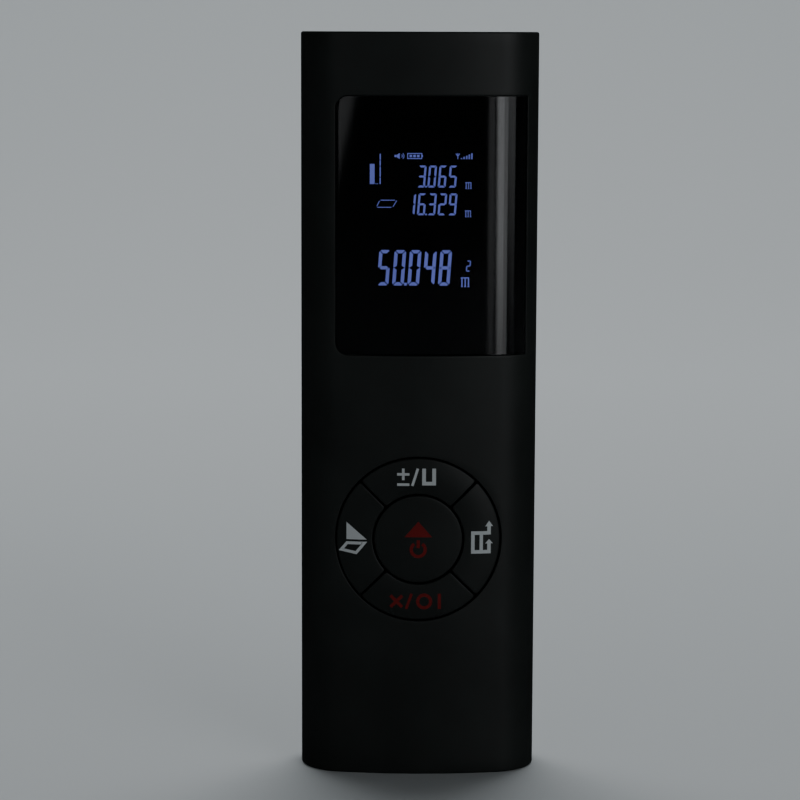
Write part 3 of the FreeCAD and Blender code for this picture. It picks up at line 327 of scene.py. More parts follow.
def rounded_loop(low, high, radii, per_side, grow=0.0):
    """Points round a rectangle with a radius for each corner.

    A side is half an arc, a straight run and half the next arc. The whole may be grown outwards.
    """
    low, high = np.subtract(low, grow), np.add(high, grow)
    radii = np.add(radii, grow)
    centres = box_corners(low, high) + radii[:, None] * np.array([(1, 1), (-1, 1), (-1, -1), (1, -1)])
    bend = per_side // 4
    run = per_side - 2 * bend
    parts = []
    for side in range(4):
        facing = math.pi * 1.5 + side * math.pi / 2
        after = (side + 1) % 4
        first = facing - math.pi / 4 * (1 - np.arange(bend) / bend)
        last = facing + math.pi / 4 * np.arange(bend) / bend
        out = np.array([math.cos(facing), math.sin(facing)])
        start = centres[side] + radii[side] * out
        end = centres[after] + radii[after] * out
        parts.append(centres[side] + radii[side] * np.stack([np.cos(first), np.sin(first)], axis=-1))
        parts.append(start + (end - start) * (np.arange(run) / run)[:, None])
        parts.append(centres[after] + radii[after] * np.stack([np.cos(last), np.sin(last)], axis=-1))
    return np.concatenate(parts)


def circle_loop(centre, radius, per_side):
    """Evenly spaced points round a circle, from its lower left diagonal."""
    angle = -0.75 * math.pi + np.arange(4 * per_side) * (math.pi / 2 / per_side)
    return np.stack([centre[0] + radius * np.cos(angle), centre[1] + radius * np.sin(angle)], axis=-1)


def quarter_round(radius, steps):
    """Pairs of outward growth and depth along a quarter circle, from the face to the wall of an opening."""
    angle = np.linspace(0, math.pi / 2, steps)
    return list(zip(radius * (1 - np.sin(angle)), radius * (1 - np.cos(angle))))


# ------------------------------------------------------------------- housing

PER_SIDE = 64  # points along a side of a front zone
FRONT_SIDE = 19.6 * MM  # arc length from the middle of the front to the edge of the front zones
BACK_POINTS = 97
WHEEL_MARGIN = 3.2 * MM  # from the key wheel to the edge of its zone
WINDOW_MARGIN = 2.4 * MM
END_INSET = 2.2 * MM  # height of the plain ring inside each end
INNER_ROUND = 0.12 * MM
LENS_SEAT = 0.1 * MM  # glue gap behind the lens plate


def in_arc(section, loop):
    """A plan loop of x and z as arc length and height."""
    return np.stack([section.arc(loop[:, 0]), loop[:, 1]], axis=-1)


def opening(surface, section, frame_loop, rows, wall):
    """One front zone with its opening.

    In front the zone's frame blends in to the first row. Behind, the last row blends out to the frame.
    """
    first, last = rows[0][0], rows[-1][0]
    grid = [section.skin(*(frame_loop + (first - frame_loop) * t).T, 0.0) for t in np.linspace(0, 1, 9)]
    grid += [section.skin(*loop.T, depth) for loop, depth in rows[1:]]
    grid += [section.skin(*(last + (frame_loop - last) * t).T, wall) for t in np.linspace(0, 1, 7)[1:]]
    surface.grid(np.stack(grid), closed=True)


def wheel_rows(section):
    """Rows of the round opening: a rounded edge, then straight in through the wall."""
    sizes, edge = settings("wheel"), settings("housing").edge_round
    centre = (0.0, WHEEL_Z)
    rows = [
        (in_arc(section, circle_loop(centre, sizes.radius + grow, PER_SIDE)), depth)
        for grow, depth in quarter_round(edge, 5)
    ]
    rows.append((rows[-1][0], settings("housing").wall))
    return rows


def window_outline(grow):
    """The recess's outline in plan: the lens plate's own, grown by its gap and by more."""
    sizes = settings("window")
    low, high = (LENS_LOW.x, LENS_LOW.z), (LENS_HIGH.x, LENS_HIGH.z)
    radii = (sizes.corner, sizes.square, sizes.square, sizes.corner)
    return rounded_loop(low, high, radii, PER_SIDE, sizes.gap + grow)


def mouth_outline():
    """The display opening in the ledge behind the lens plate."""
    sizes = settings("window")
    low = (LENS_LOW.x + sizes.ledge, LENS_LOW.z + sizes.ledge)
    high = (LENS_HIGH.x - sizes.right_ledge, LENS_HIGH.z - sizes.ledge)
    return rounded_loop(low, high, (sizes.square,) * 4, PER_SIDE)


def window_rows(section):
    """Rows of the window's recess: a rounded edge, down to the ledge, across it and on through the wall."""
    sizes, housing = settings("window"), settings("housing")
    edge = quarter_round(housing.edge_round, 4)
    rows = [(in_arc(section, window_outline(grow)), depth) for grow, depth in edge]
    floor = sizes.thickness + LENS_SEAT
    mouth = in_arc(section, mouth_outline())
    rows += [(rows[-1][0], floor), (mouth, floor), (mouth, housing.wall)]
    return rows


def end_profile(sizes):
    """Height and depth from the inner wall over an end edge to the outside, for the lower end."""
    inside = [(END_INSET, sizes.wall), (INNER_ROUND, sizes.wall)]
    inside += [(0.0, sizes.wall - INNER_ROUND), (0.0, sizes.end_round)]
    turn = np.linspace(0, math.pi / 2, 7)[1:]
    bend = zip(sizes.end_round * (1 - np.sin(turn)), sizes.end_round * (1 - np.cos(turn)))
    return inside + [(rise, depth) for depth, rise in bend]


def build_housing(material):
    """The closed shell: the section's skin carried up from end to end, and the same drawn in by the wall.

    It is laid in patches that share their edges: two front zones with openings, plain strips, the back,
    both ends and the inner wall.
    """
    section, sizes, surface = Section(), settings("housing"), Surface()
    wheel_reach = settings("wheel").radius + WHEEL_MARGIN
    wheel_low, wheel_high = WHEEL_Z - wheel_reach, WHEEL_Z + wheel_reach
    window_low, window_high = LENS_LOW.z - WINDOW_MARGIN, LENS_HIGH.z + WINDOW_MARGIN
    front = np.linspace(-FRONT_SIDE, FRONT_SIDE, PER_SIDE + 1)
    back = np.linspace(FRONT_SIDE, section.whole - FRONT_SIDE, BACK_POINTS)
    back = np.where(back > section.whole / 2, back - section.whole, back)
    for low, high, rows in (
        (wheel_low, wheel_high, wheel_rows(section)),
        (window_low, window_high, window_rows(section)),
    ):
        loop = rectangle_loop((-FRONT_SIDE, low), (FRONT_SIDE, high), PER_SIDE)
        opening(surface, section, loop, rows, sizes.wall)
    profile = end_profile(sizes)
    bottom, top = sizes.end_round, HEIGHT - sizes.end_round
    strips = [
        np.linspace(bottom, wheel_low, 12),
        np.linspace(wheel_high, window_low, 7),
        np.linspace(window_high, top, 5),
    ]

    def both_walls(across, heights):
        """A patch of the outside and the one behind it, which stops short of the ends."""
        inside = np.clip(heights, END_INSET, HEIGHT - END_INSET)
        surface.grid(section.skin(across[None, :], heights[:, None], 0.0))
        surface.grid(section.skin(across[None, :], inside[:, None], sizes.wall))

    for strip in strips:
        both_walls(front, strip)
    wheel_side = np.linspace(wheel_low, wheel_high, PER_SIDE + 1)
    window_side = np.linspace(window_low, window_high, PER_SIDE + 1)
    heights = np.concatenate([strips[0], wheel_side, strips[1], window_side, strips[2]])
    both_walls(back, np.unique(heights.round(9)))
    around = np.concatenate([front[:-1], back[:-1]])
    rise, depth = (np.array(values)[:, None] for values in zip(*profile))
    surface.grid(section.skin(around[None, :], rise, depth), closed=True)
    surface.grid(section.skin(around[None, :], HEIGHT - rise, depth), closed=True)
    return surface.make("housing_shell", material, slot="housing_plastic", stands_for=("body_sleeve",))


def build_lens(material):
    """The lens plate: the front's own skin inside its outline, a rounded edge, and the skin behind."""
    section, sizes, surface = Section(), settings("window"), Surface()
    corner_rows = clustered(17)[:9] * 2
    straight_rows, columns = 25, 61

    def plate(grow, depth):
        """Rows across the outline; near the top and bottom the left ends follow the corner arcs."""
        low, high = LENS_LOW.z - grow, LENS_HIGH.z + grow
        radius = sizes.corner + grow
        straight = np.linspace(low + radius, high - radius, straight_rows)[1:-1]
        z = np.concatenate([low + radius * corner_rows, straight, high - radius * corner_rows[::-1]])
        short = np.clip(radius - np.minimum(z - low, high - z), 0, radius)
        left = LENS_LOW.x - grow + radius - np.sqrt(np.maximum(radius**2 - short**2, 0))
        right = LENS_HIGH.x + grow
        across = left[:, None] + (right - left)[:, None] * np.linspace(0, 1, columns)[None, :]
        return section.skin(section.arc(across), z[:, None], depth)

    edge = sizes.edge
    surface.grid(plate(-edge, 0.0))
    angle = np.linspace(0, math.pi / 2, 5)
    rims = [perimeter(plate(-edge * (1 - math.sin(a)), edge * (1 - math.cos(a)))) for a in angle]
    rims.append(perimeter(plate(0.0, sizes.thickness)))
    surface.grid(np.stack(rims), closed=True)
    surface.grid(plate(0.0, sizes.thickness))
    return surface.make("window_plate", material, slot="window_plastic", stands_for=("window_lens",))


def build_mask(material):
    """The black print behind the lens plate: a thin frame from the outline in to the display's edge."""
    section, surface = Section(), Surface()
    sizes = settings("window")
    depth, thick = sizes.thickness + 0.02 * MM, 0.05 * MM
    inset, margin, corner = 0.15 * MM, 0.5 * MM, 0.4 * MM
    outer = in_arc(section, window_outline(-sizes.gap - inset))
    low = (POLARISER_LOW.x + margin, POLARISER_LOW.z + margin)
    high = (POLARISER_HIGH.x - margin, POLARISER_HIGH.z - margin)
    inner = in_arc(section, rounded_loop(low, high, (corner,) * 4, PER_SIDE))
    blend = [(outer + (inner - outer) * t, depth) for t in np.linspace(0, 1, 9)]
    rows = blend + [(loop, depth + thick) for loop, _ in blend[::-1]] + blend[:1]
    surface.grid(np.stack([section.skin(*loop.T, d) for loop, d in rows]), closed=True)
    return surface.make("window_mask", material, slot="tape", stands_for=("window_tape",))


def build_label(material, line_material):
    """The blank rear label: a rounded plate on the back's skin, and a thin printed border on it."""
    section = Section()
    half = (LABEL_HIGH.x - LABEL_LOW.x) / 2
    low, high = (-half, LABEL_LOW.z), (half, LABEL_HIGH.z)
    corner, proud, seat = 1.5 * MM, 0.03 * MM, 0.1 * MM
    border_outer, border_inner, line_lift = 1.2 * MM, 1.42 * MM, 0.006 * MM
    per_side, out = 32, np.linspace(0, 1, 13)

    def on_back(loop, depth):
        """A plan loop laid on the back: the mirror image of the front's skin."""
        points = section.skin(section.arc(loop[..., 0]), loop[..., 1], depth)
        return points * np.array([1.0, -1.0, 1.0])

    surface = Surface()
    centre = np.array([0.0, (LABEL_LOW.z + LABEL_HIGH.z) / 2])
    outline = rounded_loop(low, high, (corner,) * 4, per_side)
    rows = [on_back(centre + (outline - centre) * t, -proud) for t in out]
    rows += [on_back(centre + (outline - centre) * t, seat) for t in out[::-1]]
    surface.grid(np.stack(rows), closed=True)
    surface.make("rear_label", material, slot="label_film", stands_for=("back_label",))
    border = Surface()
    outer = rounded_loop(low, high, (corner,) * 4, per_side, -border_outer)
    inner = rounded_loop(low, high, (corner,) * 4, per_side, -border_inner)
    rims = [on_back(outer, -proud - line_lift), on_back(inner, -proud - line_lift)]
    rims += [on_back(inner, -proud / 2), on_back(outer, -proud / 2)]
    border.grid(np.stack(rims + rims[:1]), closed=True)
    border.make("rear_label_border", line_material, slot="label_film")


# ---------------------------------------------------------------------- keys

RING_KEYS = ("unit", "reference", "off", "area")  # from the top, clockwise
RING_ROWS, RING_COLUMNS = 25, 61
CENTRE_ROWS, CENTRE_COLUMNS = 15, 128
ROUND_STEPS = 6  # rows over a key's rounded edge


def ring_limits():
    """Inner and outer radius of the ring keys."""
    sizes = settings("wheel")
    return CENTRE_RADIUS + sizes.gap, sizes.radius - sizes.gap


def ring_top(x, z):
    """Front of the ring keys: the housing's bow with a crown that is a parabola across the ring."""
    sizes = settings("wheel")
    inner, outer = ring_limits()
    across = (np.hypot(x, z) - (inner + outer) / 2) / ((outer - inner) / 2)
    crown = sizes.crown * (1 - np.clip(across, -1, 1) ** 2) - sizes.sink
    return Section().face_y(x) - crown


def centre_top(x, z):
    """Front of the middle key: the housing's bow with a shallow dome, highest in the middle."""
    sizes = settings("wheel")
    rise = sizes.dome * (1 - (np.hypot(x, z) / CENTRE_RADIUS) ** 2) - sizes.sink
    return Section().face_y(x) - rise


def ring_plan(turn, shrink):
    """Plan of one ring key: rows of radius, each spanning the angle that leaves the gap to the diagonals.

    Near the inner and outer rims the sides draw in by the corner's arc.
    """
    sizes = settings("wheel")
    inner, outer = ring_limits()
    inner, outer, corner = inner + shrink, outer - shrink, sizes.corner
    radius = inner + (outer - inner) * clustered(RING_ROWS)
    short = np.clip(corner - np.minimum(radius - inner, outer - radius), 0, corner)
    offset = sizes.gap / 2 + shrink + corner - np.sqrt(corner**2 - short**2)
    reach = math.pi / 4 - np.arcsin(offset / radius)
    middle = math.pi / 2 * (1 - turn)
    around = middle - reach[:, None] * np.linspace(-1, 1, RING_COLUMNS)[None, :]
    return np.stack([radius[:, None] * np.cos(around), radius[:, None] * np.sin(around)], axis=-1)


def stand_up(plan, y):
    """Plan points about the wheel's centre, at depth y, in the frame."""
    return np.stack([plan[..., 0], np.broadcast_to(y, plan.shape[:-1]), plan[..., 1] + WHEEL_Z], axis=-1)


def build_ring_key(name, material):
    """A ring key: its crowned front, a rounded edge, straight sides and a flat back."""
    turn, edge, surface = RING_KEYS.index(name), settings("wheel").edge, Surface()
    top = ring_plan(turn, edge)
    surface.grid(stand_up(top, ring_top(top[..., 0], top[..., 1])))
    rims = []
    for bend in np.linspace(0, math.pi / 2, ROUND_STEPS):
        plan = perimeter(ring_plan(turn, edge * (1 - math.sin(bend))))
        rims.append(stand_up(plan, ring_top(plan[..., 0], plan[..., 1]) + edge * (1 - math.cos(bend))))
    plan = ring_plan(turn, 0.0)
    rims.append(stand_up(perimeter(plan), KEY_BACK))
    surface.grid(np.stack(rims), closed=True)
    surface.grid(stand_up(plan, KEY_BACK))
    return surface.make(f"{name}_key_cap", material, f"{name}_key", "key_plastic", (f"key_{name}",))


def build_centre_key(material):
    """The middle key: circles out from the pole over the dome, round its edge, down its side and in."""
    edge = settings("wheel").edge
    around = np.linspace(0, 2 * math.pi, CENTRE_COLUMNS, endpoint=False)
    ring = np.stack([np.cos(around), np.sin(around)], axis=-1)
    rows = []
    for out in np.linspace(0, 1, CENTRE_ROWS):
        plan = ring * (CENTRE_RADIUS - edge) * out
        rows.append(stand_up(plan, centre_top(plan[:, 0], plan[:, 1])))
    for bend in np.linspace(0, math.pi / 2, ROUND_STEPS)[1:]:
        plan = ring * (CENTRE_RADIUS - edge * (1 - math.sin(bend)))
        rows.append(stand_up(plan, centre_top(plan[:, 0], plan[:, 1]) + edge * (1 - math.cos(bend))))
    rows += [stand_up(ring * CENTRE_RADIUS * out, KEY_BACK) for out in (1.0, 0.5, 0.0)]
    surface = Surface()
    surface.grid(np.stack(rows), closed=True)
    return surface.make("measure_key_cap", material, "measure_key", "key_plastic", ("key_measure",))


# --------------------------------------------------------------------- signs


def resampled(points, step):
    """Points put into a line so that no run is longer than a step; corners are kept."""
    points = np.asarray(points, float)
    parts = []
    for here, there in zip(points[:-1], points[1:]):
        count = max(1, math.ceil(np.linalg.norm(there - here) / step))
        parts.append(here + (there - here) * (np.arange(count) / count)[:, None])
    return np.concatenate(parts + [points[-1:]])


def ribbon(points, width, step, closed=False):
    """A line given a width: each point's two sides lie along the mitre of the runs that meet there."""
    points = np.asarray(points, float)
    if closed:
        points = np.concatenate([points, points[:1]])
    line = resampled(points, step)
    run = np.diff(line, axis=0)
    run /= np.linalg.norm(run, axis=1)[:, None]
    normal = np.stack([-run[:, 1], run[:, 0]], axis=-1)
    before = np.concatenate([normal[-1:] if closed else normal[:1], normal])
    after = np.concatenate([normal, normal[:1] if closed else normal[-1:]])
    mitre = (before + after) / (1 + np.sum(before * after, axis=1))[:, None]
    return np.stack([line - mitre * width / 2, line + mitre * width / 2], axis=1)


def filled(first, second, step):
    """The ruled area between two lines with the same number of points."""
    first, second = np.asarray(first, float), np.asarray(second, float)
    count = max(2, math.ceil(np.abs(second - first).max() / step) + 1)
    share_over = np.linspace(0, 1, count)[:, None, None]
    return first[None] + (second - first)[None] * share_over


def round_line(centre, radius, start, end, count):
    """Points along an arc, from one angle to another in degrees."""
    angle = np.radians(np.linspace(start, end, count))
    return np.stack([centre[0] + radius * np.cos(angle), centre[1] + radius * np.sin(angle)], axis=-1)


def printed(name, plans, top, lift, material, body, slot, base=0.0):
    """Thin closed plates over plan areas of x and z, their fronts lifted off the surface that top gives.

    A plan whose last row is its first is a ring: it has an inner and an outer wall and no end walls.
    """
    surface, thickness = Surface(), 0.02 * MM
    for plan in plans:
        front = top(plan[..., 0], plan[..., 1]) - lift
        faces = []
        for y in (front, front + thickness):
            faces.append(np.stack([plan[..., 0], y, plan[..., 1] + base], axis=-1))
            surface.grid(faces[-1])
        if np.allclose(plan[0], plan[-1], atol=1e-9):
            for side in (0, -1):
                surface.grid(np.stack([face[:, side] for face in faces]))
        else:
            surface.grid(np.stack([perimeter(face) for face in faces]), closed=True)
    return surface.make(name, material, body, slot)


# Places in the signs are from the wheel's centre. The step is the longest run between two points of a line,
# so that a sign follows the curve of its key.
STEP = 0.4 * MM
SHORT_STEP = 0.35 * MM


def unit_signs(stroke):
    """Plus over minus, a slash, and an open bracket that stands for a measure."""
    x, low, high, arm = -2.35 * MM, 8.6 * MM, 11.1 * MM, 0.95 * MM
    middle = 10.2 * MM
    step, thin, thick = STEP, stroke * 0.8, stroke * 1.15
    left, right, foot = 0.85 * MM, 2.4 * MM, low + stroke / 3
    return [
        ribbon([(x - arm, middle), (x + arm, middle)], thin, step),
        ribbon([(x, middle + thin / 2), (x, middle + arm * 0.95)], thin, step),
        ribbon([(x, middle - arm * 0.95), (x, middle - thin / 2)], thin, step),
        ribbon([(x - arm, low), (x + arm, low)], thin, step),
        ribbon([(-0.95 * MM, low - thin / 2), (-0.1 * MM, high)], thin, step),
        ribbon([(left, high), (left, foot), (right, foot), (right, high)], thick, step),
    ]


def off_signs(stroke):
    """A cross, a slash, an open ring and a bar."""
    z, arm, half, step = -9.72 * MM, 0.9 * MM, 1.2 * MM, STEP
    x, gap = -3.35 * MM, stroke * 0.36
    ring = round_line((0.95 * MM, z), 1.0 * MM, 0, 351, 40)
    return [
        ribbon([(x - arm, z - arm), (x + arm, z + arm)], stroke, step),
        ribbon([(x - arm, z + arm), (x - gap, z + gap)], stroke, step),
        ribbon([(x + gap, z - gap), (x + arm, z - arm)], stroke, step),
        ribbon([(-1.85 * MM, z - half), (-1.0 * MM, z + half)], stroke * 0.85, step),
        ribbon(ring, stroke, step, closed=True),
        ribbon([(3.3 * MM, z - half), (3.3 * MM, z + half)], stroke, step),
    ]


def measure_signs(stroke):
    """A solid triangle over the round power sign."""
    apex, half, foot, count = 2.8 * MM, 2.15 * MM, 0.34 * MM, 15
    step = SHORT_STEP
    base = np.stack([np.linspace(-half, half, count), np.full(count, foot)], axis=-1)
    tip = np.stack([np.zeros(count), np.full(count, apex)], axis=-1)
    centre = (0.0, -1.6 * MM)
    return [
        filled(base, tip, step),
        ribbon(round_line(centre, 1.08 * MM, 125, 415, 44), stroke, step),
        ribbon([(0.0, -1.35 * MM), (0.0, -0.12 * MM)], stroke, step),
    ]


def area_signs(stroke):
    """An upright triangle on a leaning plate."""
    step = SHORT_STEP
    corner, top, end = (-11.1 * MM, -0.12 * MM), (-11.1 * MM, 2.6 * MM), (-7.95 * MM, -0.12 * MM)
    plate = [(-11.9 * MM, -1.76 * MM), (-11.0 * MM, -0.68 * MM)]
    plate += [(-8.35 * MM, -0.68 * MM), (-9.6 * MM, -2.2 * MM)]
    rise = np.linspace(0, 1, 9)[:, None]
    upright = np.array(corner) + (np.array(top) - corner) * rise
    slope = np.array(end) + (np.array(top) - end) * rise
    return [filled(upright, slope, step), ribbon(plate, stroke * 0.9, step, closed=True)]


def reference_signs(stroke):
    """A box with an inner bar, and from its top and foot two stepped arrows that point up."""
    step, thick = SHORT_STEP, stroke * 1.1
    left, bar, stem = 8.45 * MM, 9.75 * MM, 10.95 * MM
    foot, head, half = -2.0 * MM, 0.95 * MM, 0.6 * MM
    path = [(stem, foot + 1.5 * MM), (stem, foot), (left, foot)]
    path += [(left, head), (stem, head), (stem, 2.1 * MM)]
    plans = [
        ribbon(path, thick, step),
        ribbon([(bar, foot + thick / 2), (bar, head - thick / 2)], thick * 0.95, step),
    ]
    for base, tip in ((-0.72 * MM, -0.02 * MM), (1.98 * MM, 2.85 * MM)):
        foot_line = [(stem - half, base), (stem, base), (stem + half, base)]
        plans.append(filled(foot_line, [(stem, tip)] * 3, step))
    return plans


# ------------------------------------------------------------------- display

# Segments lit for each figure, by letter: a top, b upper right, c lower right, d foot, e lower left,
# f upper left, g middle.
FIGURES = {
    "0": "abcdef",
    "1": "bc",
    "2": "abged",
    "3": "abgcd",
    "4": "fgbc",
    "5": "afgcd",
    "6": "afgedc",
    "8": "abcdefg",
    "9": "abcdfg",
}


WHOLE = 1.0  # a step longer than any line, which adds no points


def segment_plans(figure, width, height, stroke):
    """The lit segments of one figure, with mitred ends and cut outer corners.

    A segment has three rows of two points, from its outer edge inwards.
    """
    half, gap, cut = stroke / 2, stroke * 0.17, stroke * 0.24
    taper, blunt = 0.66, stroke * 0.72 + gap
    middle = height / 2
    ends = ((0.0, 2 * cut + gap), (cut, cut + gap), (stroke, stroke + gap))

    def level(z, inward):
        """A level segment at the head or the foot, from its outer edge inward."""
        return [[(end, z + inward * depth), (width - end, z + inward * depth)] for depth, end in ends]

    def post(x, inward, far, back):
        """An upright segment from a far corner back to the middle, from its outer edge inward."""
        rows = []
        for depth, end in ends:
            near = middle - back * (gap / 2 + max(0.0, depth - cut) * taper)
            rows.append([(x + inward * depth, far + back * end), (x + inward * depth, near)])
        return rows

    tip = cut + gap
    bar = [
        [(blunt, middle - half), (width - blunt, middle - half)],
        [(tip, middle), (width - tip, middle)],
        [(blunt, middle + half), (width - blunt, middle + half)],
    ]
    shapes = {
        "a": level(height, -1),
        "d": level(0.0, 1),
        "g": bar,
        "f": post(0.0, 1, height, -1),
        "e": post(0.0, 1, 0.0, 1),
        "b": post(width, -1, height, -1),
        "c": post(width, -1, 0.0, 1),
    }
    return [np.array(shapes[letter]) for letter in FIGURES[figure]]


def number_plans(text, left, low, width, height, pitch, stroke, slant):
    """Figures side by side, leaning by the slant; a point follows the figure before it."""
    plans, column, dot = [], 0, stroke * 0.42
    for mark in text:
        if mark == ".":
            x = left + (column - 1) * pitch + width + (pitch - width) * 0.5
            plans.append(box_plan(x - dot, x + dot, low, low + 2 * dot))
            continue
        for plan in segment_plans(mark, width, height, stroke):
            x = left + column * pitch + plan[..., 0] + slant * plan[..., 1]
            plans.append(np.stack([x, low + plan[..., 1]], axis=-1))
        column += 1
    return plans


def box_plan(left, right, low, high):
    """An upright rectangle of four points."""
    return filled([(left, low), (left, high)], [(right, low), (right, high)], WHOLE)


def metre_plans(left, right, low, high, stroke):
    """The unit sign: a crown over three posts with feet."""
    middle = (left + right) / 2
    half, foot, reach = stroke / 2, stroke * 0.6, stroke * 0.85
    plans = [box_plan(left - half, right, high - stroke, high)]
    for x in (left + half, middle, right - half):
        plans.append(box_plan(x - half, x + half, low + foot, high - stroke))
        plans.append(box_plan(x - reach, x + reach, low, low + foot))
    return plans


def status_plans():
    """The row of small signs: a sounder, a cell with three bars, and a mast with rising bars."""
    low, high, line, thin = 95.78 * MM, 96.68 * MM, 0.13 * MM, 0.1 * MM
    middle, half = (low + high) / 2, 0.17 * MM
    left = -3.85 * MM
    plans = [box_plan(left, left + 0.3 * MM, middle - half, middle + half)]
    near, far = left + 0.33 * MM, left + 0.8 * MM
    plans.append(filled([(near, middle - half), (far, low)], [(near, middle + half), (far, high)], WHOLE))
    for radius in (0.34 * MM, 0.6 * MM):
        plans.append(ribbon(round_line((left + 0.85 * MM, middle), radius, -45, 45, 12), thin, WHOLE))
    left, right = -1.85 * MM, 0.28 * MM
    foot, head = low + line / 2, high - line / 2
    shell = [(left, foot), (right, foot), (right, head), (left, head)]
    plans.append(ribbon(shell, line, WHOLE, closed=True))
    plans.append(box_plan(right + line / 2, right + 0.18 * MM, middle - half, middle + half))
    for number in range(3):
        start = left + (0.3 + 0.56 * number) * MM
        plans.append(box_plan(start, start + 0.38 * MM, low + 0.26 * MM, high - 0.26 * MM))
    left = 5.45 * MM
    plans.append(box_plan(left + 0.24 * MM, left + 0.24 * MM + line, low, high))
    plans.append(ribbon([(left, head), (left + 0.3 * MM, middle), (left + 0.6 * MM, head)], line, WHOLE))
    for number in range(5):
        start = left + (0.76 + 0.39 * number) * MM
        plans.append(box_plan(start, start + 0.22 * MM, low, low + (high - low) * (0.2 + 0.2 * number)))
    return plans


def figure_plans():
    """Everything lit below the row of small signs: two short rows, their signs and the long row."""
    # each shape is a width, a height, a pitch, a stroke and a slant
    sizes = settings("display")
    slant = sizes.slant
    small = (sizes.small_width, sizes.small_height, sizes.small_pitch, sizes.small_stroke, slant)
    large = (sizes.large_width, sizes.large_height, sizes.large_pitch, sizes.large_stroke, slant * 0.9)
    raised = (0.66 * MM, 1.7 * MM, MM, 0.17 * MM, slant)
    left = -0.42 * MM
    plans = []
    for text, start, low, shape in (
        ("3.065", left, 91.45, small),
        ("16.329", left - sizes.small_pitch, 87.22, small),
        ("50.048", -6.5 * MM, 76.45, large),
    ):
        plans += number_plans(text, start, low * MM, *shape)
    for left, right, low, high, stroke in (
        (6.98, 7.84, 91.25, 92.28, 0.14),
        (6.95, 7.81, 86.95, 87.98, 0.14),
        (6.4, 7.6, 76.25, 77.75, 0.2),
    ):
        plans += metre_plans(left * MM, right * MM, low * MM, high * MM, stroke * MM)
    plans += number_plans("2", 7.08 * MM, 78.62 * MM, *raised)
    # the solid bar, the broken bar beside it and the two dots between their feet
    foot = 91.96 * MM
    plans.append(box_plan(-7.58 * MM, -6.86 * MM, foot, 95.02 * MM))
    for low, high in ((91.96, 92.95), (93.05, 94.62), (94.74, 95.55), (95.65, 96.56)):
        plans.append(box_plan(-6.1 * MM, -5.92 * MM, low * MM, high * MM))
    for number in range(2):
        start = (-6.72 + 0.24 * number) * MM
        plans.append(box_plan(start, start + 0.14 * MM, foot, 92.08 * MM))
    # the leaning plate: head, foot, left side and right side
    line, low, high = 0.12 * MM, 88.42 * MM, 89.5 * MM
    for here, there in (
        ((-5.95 * MM, high), (-3.75 * MM, high)),
        ((-6.45 * MM, low), (-4.3 * MM, low)),
        ((-6.5 * MM, low + 0.16 * MM), (-6.1 * MM, high - 0.1 * MM)),
        ((-4.05 * MM, low + 0.08 * MM), (-3.5 * MM, high - 0.06 * MM)),
    ):
        plans.append(ribbon([here, there], line, MM))
    return plans


# ----------------------------------------------------------------- materials


class Nodes:
    """A material's node tree with its Principled shader, and short ways to add to it."""

    def __init__(self, name):
        self.material = bpy.data.materials.new(name)
        self.material.use_nodes = True
        self.tree = self.material.node_tree
        self.shader = self.tree.nodes["Principled BSDF"]
        self.place = self.add("ShaderNodeTexCoord")

    def add(self, kind, **values):
        """A new node with its properties set."""
        node = self.tree.nodes.new(kind)
        for name, value in values.items():
            setattr(node, name, value)
        return node

    def link(self, source, target):
        """Joins an output to an input."""
        self.tree.links.new(source, target)

    def set(self, **values):
        """Values on the shader's own sockets; an underscore stands for a space."""
        for name, value in values.items():
            socket = self.shader.inputs[name.replace("_", " ")]
            socket.default_value = (*value, 1.0) if socket.type == "RGBA" else value

    def noise(self, scale, detail=2.0, stretch=(1, 1, 1)):
        """A cloud pattern in object space; a low stretch draws it out along that axis."""
        mapping = self.add("ShaderNodeMapping")
        mapping.inputs["Scale"].default_value = stretch
        self.link(self.place.outputs["Object"], mapping.inputs["Vector"])
        noise = self.add("ShaderNodeTexNoise")
        noise.inputs["Scale"].default_value = scale
        noise.inputs["Detail"].default_value = detail
        self.link(mapping.outputs["Vector"], noise.inputs["Vector"])
        return noise.outputs["Fac"]

    def ramp(self, source, low, high, start=0.35, end=0.65):
        """Mixes two colours by a pattern between two of its values."""
        ramp = self.add("ShaderNodeValToRGB")
        ramp.color_ramp.elements[0].position = start
        ramp.color_ramp.elements[1].position = end
        ramp.color_ramp.elements[0].color = (*low, 1.0)
        ramp.color_ramp.elements[1].color = (*high, 1.0)
        self.link(source, ramp.inputs["Fac"])
        return ramp.outputs["Color"]

    def spread(self, source, low, high):
        """Carries a pattern's 0.3 to 0.7 over to a range of values."""
        spread = self.add("ShaderNodeMapRange")
        for name, value in (("From Min", 0.3), ("From Max", 0.7), ("To Min", low), ("To Max", high)):
            spread.inputs[name].default_value = value
        self.link(source, spread.inputs["Value"])
        return spread.outputs["Result"]

    def bump(self, source, height, strength=1.0):
        """Relief from a pattern, up to a height."""
        bump = self.add("ShaderNodeBump")
        bump.inputs["Strength"].default_value = strength
        bump.inputs["Distance"].default_value = height
        self.link(source, bump.inputs["Height"])
        self.link(bump.outputs["Normal"], self.shader.inputs["Normal"])


def scaled(value, factor):
    """A colour made lighter or darker."""
    return tuple(min(1.0, part * factor) for part in value)


